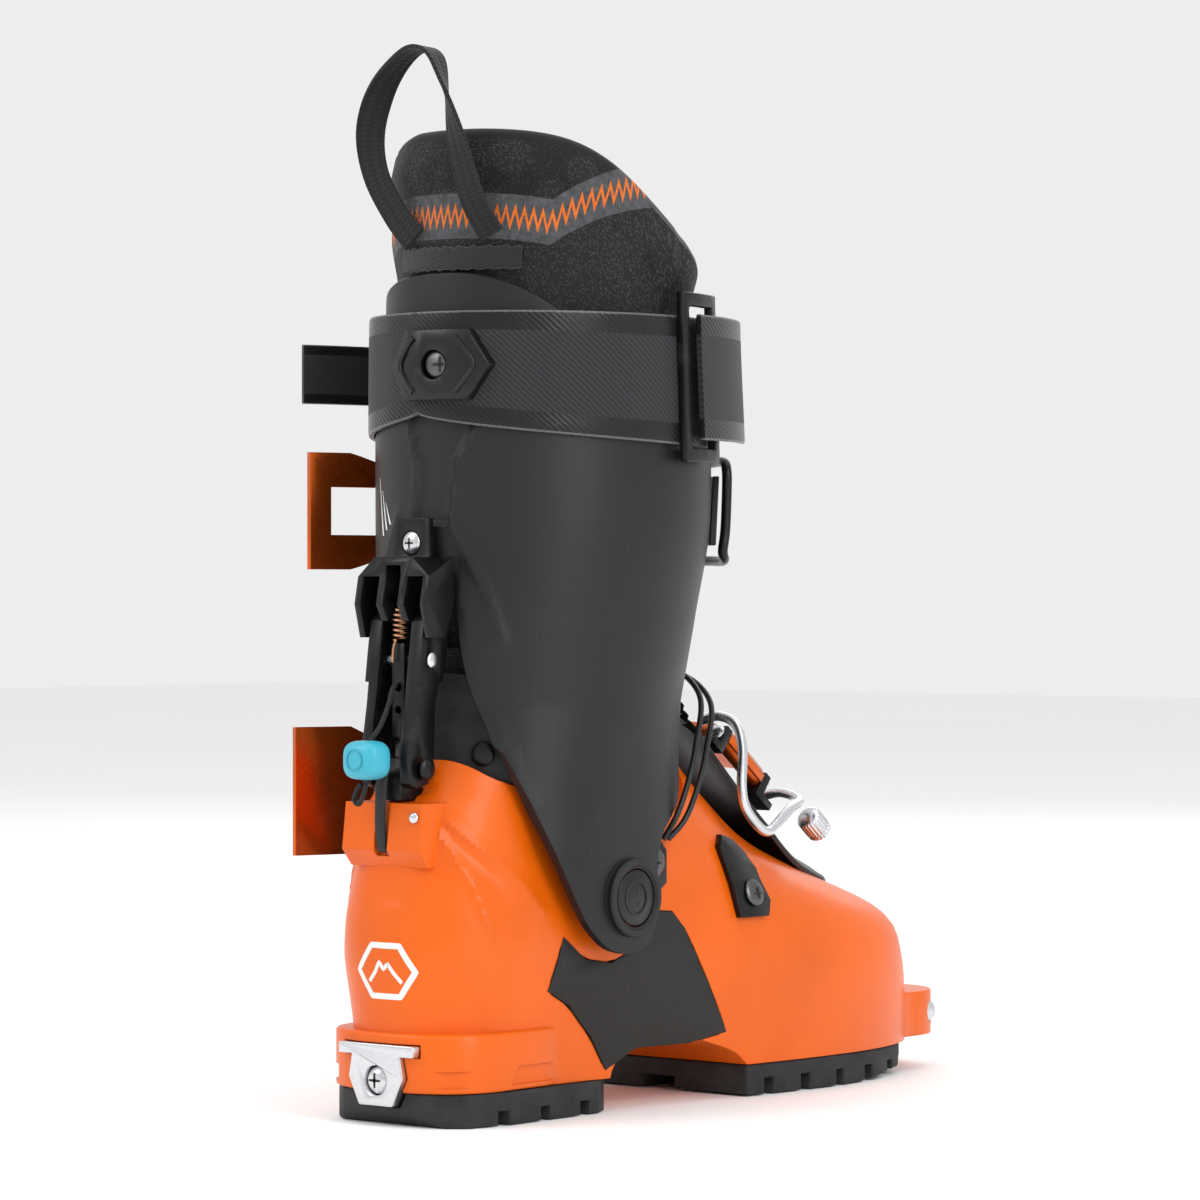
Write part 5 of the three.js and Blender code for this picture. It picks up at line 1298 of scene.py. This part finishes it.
def make_knob():
    """The buckle's fine adjuster: a knurled head with chamfered ends and a slot."""
    teeth, half = 22, KNOB["length"] / 2
    profile = [(-half, 0.66), (-half + 0.5, 0.84), (-half + 1.2, 0.97), (half - 3.2, 0.97),
               (half - 2.8, 0.86), (half - 2.2, 0.86), (half - 1.9, 0.97), (half - 0.9, 0.95), (half, 0.78)]
    rings = []
    for along, share in profile:
        ring = []
        for i in range(teeth * 6):
            turn = TAU * i / (teeth * 6)
            cut = 0.06 * (0.5 + 0.5 * math.cos(teeth * turn)) if share > 0.9 else 0.0
            radius = KNOB["radius"] * (share - cut)
            ring.append(ridge(KNOB["x"] + radius * math.sin(turn), KNOB["y"] + along,
                              KNOB["z"] + radius * math.cos(turn)))
        rings.append(ring)
    fit(loft("knurled_knob", rings, STEEL), "knob", "steel", "adjusting_knob")


make_tongue()
make_gaiter()
make_cables()
make_bales()
make_spring()
make_knob()


# ---------------------------------------------------------------- fine hardware and emblem
# near-black finish for screw recesses and pivot key holes: painted shade, put where the hollows are dark only
# from shade
PAINTED_RECESS_SHADE = moulded("painted_recess_shade", (0.004, 0.004, 0.004), 0.5, grain=1500, wear=0.0)


def frame_of(direction):
    along = Vector(direction).normalized()
    side = along.cross(Vector((0, 0, 1))).normalized()
    return along, side, side.cross(along)


def cross_recess(name, at, direction, size, body, slot):
    """A near-black cross at the crown of a screw's head: painted shade standing in for its driver recess."""
    along, side, up = frame_of(direction)
    verts, faces = [], []
    for a, b in ((side, up), (up, side)):
        start = len(verts)
        for depth in (-0.5, 0.12):
            for share in np.linspace(-1, 1, 5):
                for w in (-1, 1):
                    verts.append(Vector(at) + a * size * share
                                 + b * 0.17 * size * w * (1.2 - abs(share) * 0.4) + along * depth)
        n = 5
        for i in range(n - 1):
            lo, hi = start + 2 * i, start + 2 * n + 2 * i
            faces += [(lo, lo + 1, lo + 3, lo + 2), (hi, hi + 2, hi + 3, hi + 1), (lo, lo + 2, hi + 2, hi),
                      (lo + 1, hi + 1, hi + 3, lo + 3)]
        first, last = start, start + 2 * (n - 1)
        faces += [(first, first + 2 * n, first + 2 * n + 1, first + 1),
                  (last, last + 1, last + 2 * n + 1, last + 2 * n)]
    piece = mesh_object(name, world([tuple(v) for v in verts]), faces, PAINTED_RECESS_SHADE)
    fit(piece, body, slot)


def crown(node_name, direction):
    """The outermost point of a small CAD piece along a direction, in the heel frame."""
    mesh = frame["nodes"][node_name].data
    points = np.array([v.co for v in mesh.vertices]) / MM - ORIGIN
    along = np.array(direction, float) / np.linalg.norm(direction)
    depth = points @ along
    top = points[depth > depth.max() - 0.8]
    return top.mean(0) + along * (depth.max() - (top.mean(0) @ along))


# node: direction of the head, half size of the recess, body, slot
SCREWS = {"heel_insert_screw": ((0, -1, 0), 2.7, "shell", "steel"),
          "strap_screw": ((0.35, -1, 0), 2.8, "cuff", "steel"),
          "lock_bracket_screw": ((0, -1, 0), 2.0, "cuff", "steel"),
          "cable_anchor_screw": ((1, 0, 0), 2.2, "shell", "steel"),
          "forefoot_anchor_screw": ((1, 0.1, 0.25), 2.2, "shell", "steel")}


def make_recesses():
    for name, (direction, size, body, slot) in SCREWS.items():
        cross_recess(name + "_recess", crown(name, direction), direction, size, body, slot)


def heel_surface(x, z, lift):
    """Point of the heel's rear face at x and z, standing off by lift."""
    rear, _, heel, _ = level_at(FOOT_LEVELS, z)
    s = math.copysign((min(abs(x) / heel, 1)) ** (1 / HEEL_POWER), x)
    return [x, rear + HEEL_LENGTH - (HEEL_LENGTH + lift) * math.sqrt(max(1 - s * s, 0)) ** HEEL_POWER, z]


def surface_strip(name, line, half_width, lift, material, closed=True):
    """A thin printed line that follows the rear of the heel."""
    line = np.asarray(line, float)
    if closed:
        ahead, behind = np.roll(line, -1, 0), np.roll(line, 1, 0)
    else:
        ahead, behind = np.vstack([line[1:], line[-1:]]), np.vstack([line[:1], line[:-1]])
    way = ahead - behind
    way /= np.linalg.norm(way, axis=1)[:, None]
    normal = np.stack([-way[:, 1], way[:, 0]], 1)
    rings = []
    for p, n in zip(line, normal):
        a, b = p + n * half_width, p - n * half_width
        rings.append([heel_surface(*a, -0.4), heel_surface(*a, lift), heel_surface(*b, lift),
                      heel_surface(*b, -0.4)])
    return loft(name, rings, material, ends="join" if closed else "cap")


def make_emblem():
    """A plain printed hexagon with a mountain ridge in it, on the rear of the heel."""
    corners = [(2 + 13.0 * math.cos(t), 55 + 10.5 * math.sin(t)) for t in np.linspace(0, TAU, 6, False)]
    ring = [np.array(p) * (1 - t) + np.array(q) * t for p, q in zip(corners, corners[1:] + corners[:1])
            for t in np.linspace(0, 1, 12, False)]
    fit(surface_strip("heel_print_ring", ring, 1.1, 0.09, PRINT_WHITE), "shell", "orange_shell")
    peak = [(-5.5, 51), (-2.4, 54.6), (-0.4, 58.2), (1.6, 55.6), (3.6, 57.6), (6.2, 54.4), (9.5, 51)]
    fine = np.array([np.array(p) * (1 - t) + np.array(q) * t for p, q in zip(peak, peak[1:])
                     for t in np.linspace(0, 1, 5, False)] + [peak[-1]])
    fit(surface_strip("heel_print_peak", fine, 0.75, 0.09, PRINT_WHITE, False), "shell", "orange_shell")


STRAP_SCREW_X, STRAP_SCREW_Z = 10, 272


def make_plate_ribs():
    """Two raised chevrons moulded on the strap plate, beside its screw."""
    chevron = [(8.5, 10), (11.8, 6), (15.0, 0), (11.8, -6), (8.5, -10)]
    for side, word in ((-1, "lateral"), (1, "medial")):
        points = [(STRAP_SCREW_X + side * across, STRAP_SCREW_Z + up) for across, up in chevron]
        line = []
        for x, z in points:
            turn = math.asin(x / 63.3)
            line.append(cuff_point(z, turn, 6.2))
        fit(wire(f"plate_rib_{word}", line, 0.9, BLACK_PLASTIC, 6, 4), "cuff", "black_plastic")


def make_pivot_details():
    """A ring and three shallow key holes on each ankle pivot's face; the key holes are near-black discs,
    painted shade.
    """
    for side, word in ((1, "medial"), (-1, "lateral")):
        face = 50.32
        rings = []
        for radius, x in ((6.4, face - 0.4), (6.4, face + 0.25), (5.6, face + 0.25), (5.6, face - 0.4)):
            rings.append(ring_yz(side * x, radius, 48))
        fit(loft(f"pivot_ring_{word}", rings, BLACK_PLASTIC, ends="join"), "shell", "black_plastic")
        for k in range(3):
            turn = TAU * k / 3 + 0.5
            y, z = PIVOT_Y + 2.9 * math.sin(turn), PIVOT_Z + 2.9 * math.cos(turn)
            hole = rod([side * (face - 0.4), y, z], [side * (face + 0.08), y, z], 1.0, 20,
                       f"pivot_key_{word}_{k + 1}", PAINTED_RECESS_SHADE)
            fit(hole, "shell", "black_plastic")


make_recesses()
make_emblem()
make_plate_ribs()
make_pivot_details()
